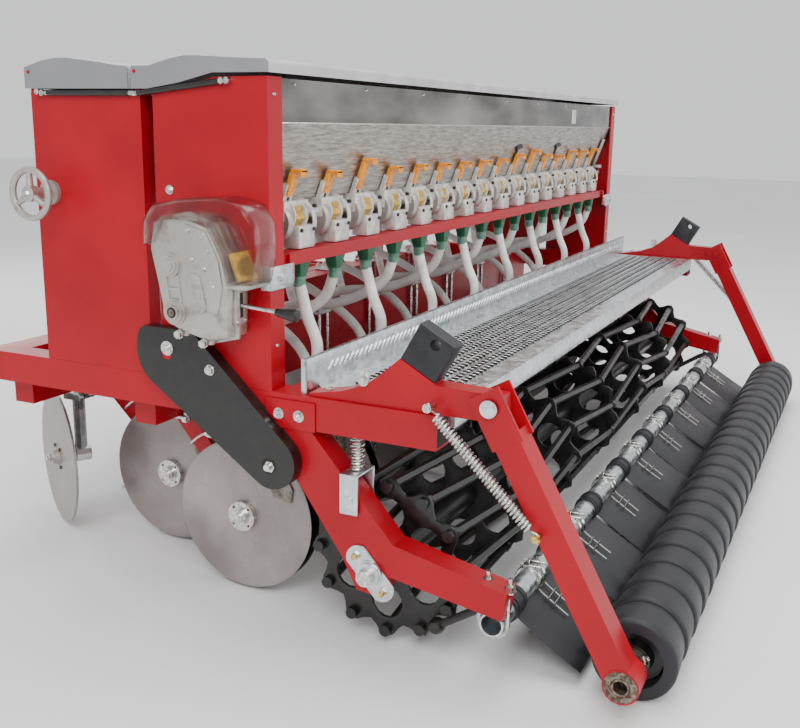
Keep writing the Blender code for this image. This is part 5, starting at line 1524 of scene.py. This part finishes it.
class DRILL_OT_hitch_fittings(PieceOperator, bpy.types.Operator):
    """Build the hitch pins with their rings, and the parking stands' pins"""

    bl_idname = "drill.hitch_fittings"
    bl_label = "Hitch fittings"

    def execute(self, context):
        bm = bmesh.new()
        for x in (-LOWER_LINK_X, LOWER_LINK_X):
            for side in (-1, 1):
                add_pin(bm, (x + side * 0.0380, 1.015, LOWER_LINK_Z), (side, 0, 0),
                        [(0.004, 0.0200), (0.012, 0.0135)], 0, 20)
            ring = [(x + 0.046, y, z) for y, z in arc(1.015, LOWER_LINK_Z - 0.018, 0.018, -270, 60, 12)]
            add_sweep(bm, ring, 0.0020, 1, 6)
        for side in (-1, 1):
            add_pin(bm, (side * 0.0400, 0.955, TOP_LINK_Z), (side, 0, 0), [(0.004, 0.0185), (0.011, 0.0120)],
                    0, 20)
        for x in (-0.300, -0.150, 0.150, 0.300):
            add_bolt(bm, (x, 0.8295, LOWER_LINK_Z), (0, 1, 0), 0.020, 0, 0)
        for x in (-0.060, 0.060):
            for z in (0.975, 1.030):
                add_bolt(bm, (x, 0.8285, z), (0, 1, 0), 0.017, 0, 0)
        piece("hitch_pins", bm, [bright_zinc, galvanised])
        bm = bmesh.new()
        for side in (-1, 1):
            x = side * STAND_X
            add_pin(bm, (x + side * 0.0328, 0.811, 0.560), (side, 0, 0), [(0.003, 0.0120), (0.018, 0.0075)],
                    0, 14)
            loop = ((0, 0.006), (0.014, 0.020), (0.030, 0.014), (0.030, -0.006), (0.012, -0.008))
            grip = [(x + side * 0.046, 0.811 + y, 0.560 + z) for y, z in loop]
            add_sweep(bm, smooth_line(grip, 3), 0.0022, 0, 6)
            add_bolt(bm, (x, 0.8438, 0.440), (0, 1, 0), 0.016, 0, 0)
        piece("stand_pins", bm, [bright_zinc])
        return {"FINISHED"}


# Stage

WORLD_LIGHT = 1.05
CAMERA_EYE = Vector((-2.874, -1.173, 1.048))
CAMERA_AIM = Vector((0.8770, 0.4193, -0.2343)).normalized()
CAMERA_LENS = 44.85  # mm
CAMERA_ROLL = 0.912  # degrees
# name, place, aim, size and power in watts
LIGHTS = (
    ("key_light", (-4.2, -1.6, 3.4), (-0.2, 0.0, 0.6), (3.0, 2.2), 150),
    ("top_light", (0.4, -0.6, 4.6), (0.2, -0.2, 0.5), (4.5, 3.0), 150),
    ("rear_fill", (1.2, -5.0, 1.8), (0.2, 0.0, 0.6), (3.5, 2.0), 55),
    ("front_fill", (1.5, 4.8, 2.6), (0.0, 0.2, 0.6), (3.5, 2.0), 60),
)


def add_light(name, place, aim, size, watts):
    lamp = bpy.data.lights.new(name, "AREA")
    lamp.shape = "RECTANGLE"
    lamp.size, lamp.size_y = size
    lamp.energy = watts
    holder = bpy.data.objects.new(name, lamp)
    holder.location = place
    holder.rotation_euler = (Vector(aim) - Vector(place)).to_track_quat("-Z", "Y").to_euler()
    bpy.context.scene.collection.objects.link(holder)


class DRILL_OT_stage(PieceOperator, bpy.types.Operator):
    """Set the floor, the soft studio lights and the camera"""

    bl_idname = "drill.stage"
    bl_label = "Stage"

    def execute(self, context):
        bm = bmesh.new()
        bmesh.ops.create_grid(bm, x_segments=8, y_segments=8, size=20.0)
        mesh = bpy.data.meshes.new("studio_floor")
        bm.to_mesh(mesh)
        bm.free()
        mesh.materials.append(material(pale_floor))
        floor = bpy.data.objects.new("studio_floor", mesh)
        floor.location.z = -0.001
        context.scene.collection.objects.link(floor)

        world = context.scene.world or bpy.data.worlds.new("studio")
        context.scene.world = world
        world.use_nodes = True
        world.node_tree.nodes["Background"].inputs["Color"].default_value = (*linear("#f4f5f7"), 1)
        world.node_tree.nodes["Background"].inputs["Strength"].default_value = WORLD_LIGHT

        for light in LIGHTS:
            add_light(*light)

        level = CAMERA_AIM.cross(Vector((0, 0, 1))).normalized()
        upright = level.cross(CAMERA_AIM)
        roll = math.radians(CAMERA_ROLL)
        right = level * math.cos(roll) + upright * math.sin(roll)
        lens = bpy.data.cameras.new("camera")
        lens.lens = CAMERA_LENS
        lens.sensor_width = 36
        camera = bpy.data.objects.new("camera", lens)
        turn = Matrix((right, right.cross(CAMERA_AIM), -CAMERA_AIM)).transposed()
        camera.matrix_world = Matrix.Translation(CAMERA_EYE) @ turn.to_4x4()
        context.scene.collection.objects.link(camera)
        context.scene.camera = camera
        return {"FINISHED"}


OPERATORS = (
    DRILL_OT_lids,
    DRILL_OT_hoppers,
    DRILL_OT_post_clamps,
    DRILL_OT_frame,
    DRILL_OT_metering,
    DRILL_OT_hoses,
    DRILL_OT_beam_clamps,
    DRILL_OT_footboard,
    DRILL_OT_drive,
    DRILL_OT_discs,
    DRILL_OT_cage_roller,
    DRILL_OT_press_roller,
    DRILL_OT_flaps,
    DRILL_OT_arm_fittings,
    DRILL_OT_hitch_fittings,
    DRILL_OT_stage,
)


class DRILL_PT_panel(bpy.types.Panel):
    """The drill's colours and sizes, and the operators that build its pieces"""

    bl_idname = "DRILL_PT_panel"
    bl_label = "Seed drill"
    bl_space_type = "VIEW_3D"
    bl_region_type = "UI"
    bl_category = "Seed drill"

    def draw(self, context):
        for group in (context.scene.drill_colours, context.scene.drill_sizes):
            for name in group.__annotations__:
                self.layout.prop(group, name)
        for operator in OPERATORS:
            self.layout.operator(operator.bl_idname)


CLASSES = (DrillColours, DrillSizes, *OPERATORS, DRILL_PT_panel)


def register():
    for kind in CLASSES:
        bpy.utils.register_class(kind)
    bpy.types.Scene.drill_colours = PointerProperty(type=DrillColours)
    bpy.types.Scene.drill_sizes = PointerProperty(type=DrillSizes)


def unregister():
    del bpy.types.Scene.drill_sizes
    del bpy.types.Scene.drill_colours
    for kind in reversed(CLASSES):
        bpy.utils.unregister_class(kind)


def main():
    register()
    for operator in OPERATORS:
        group, name = operator.bl_idname.split(".")
        getattr(getattr(bpy.ops, group), name)()


if __name__ == "__main__":
    main()
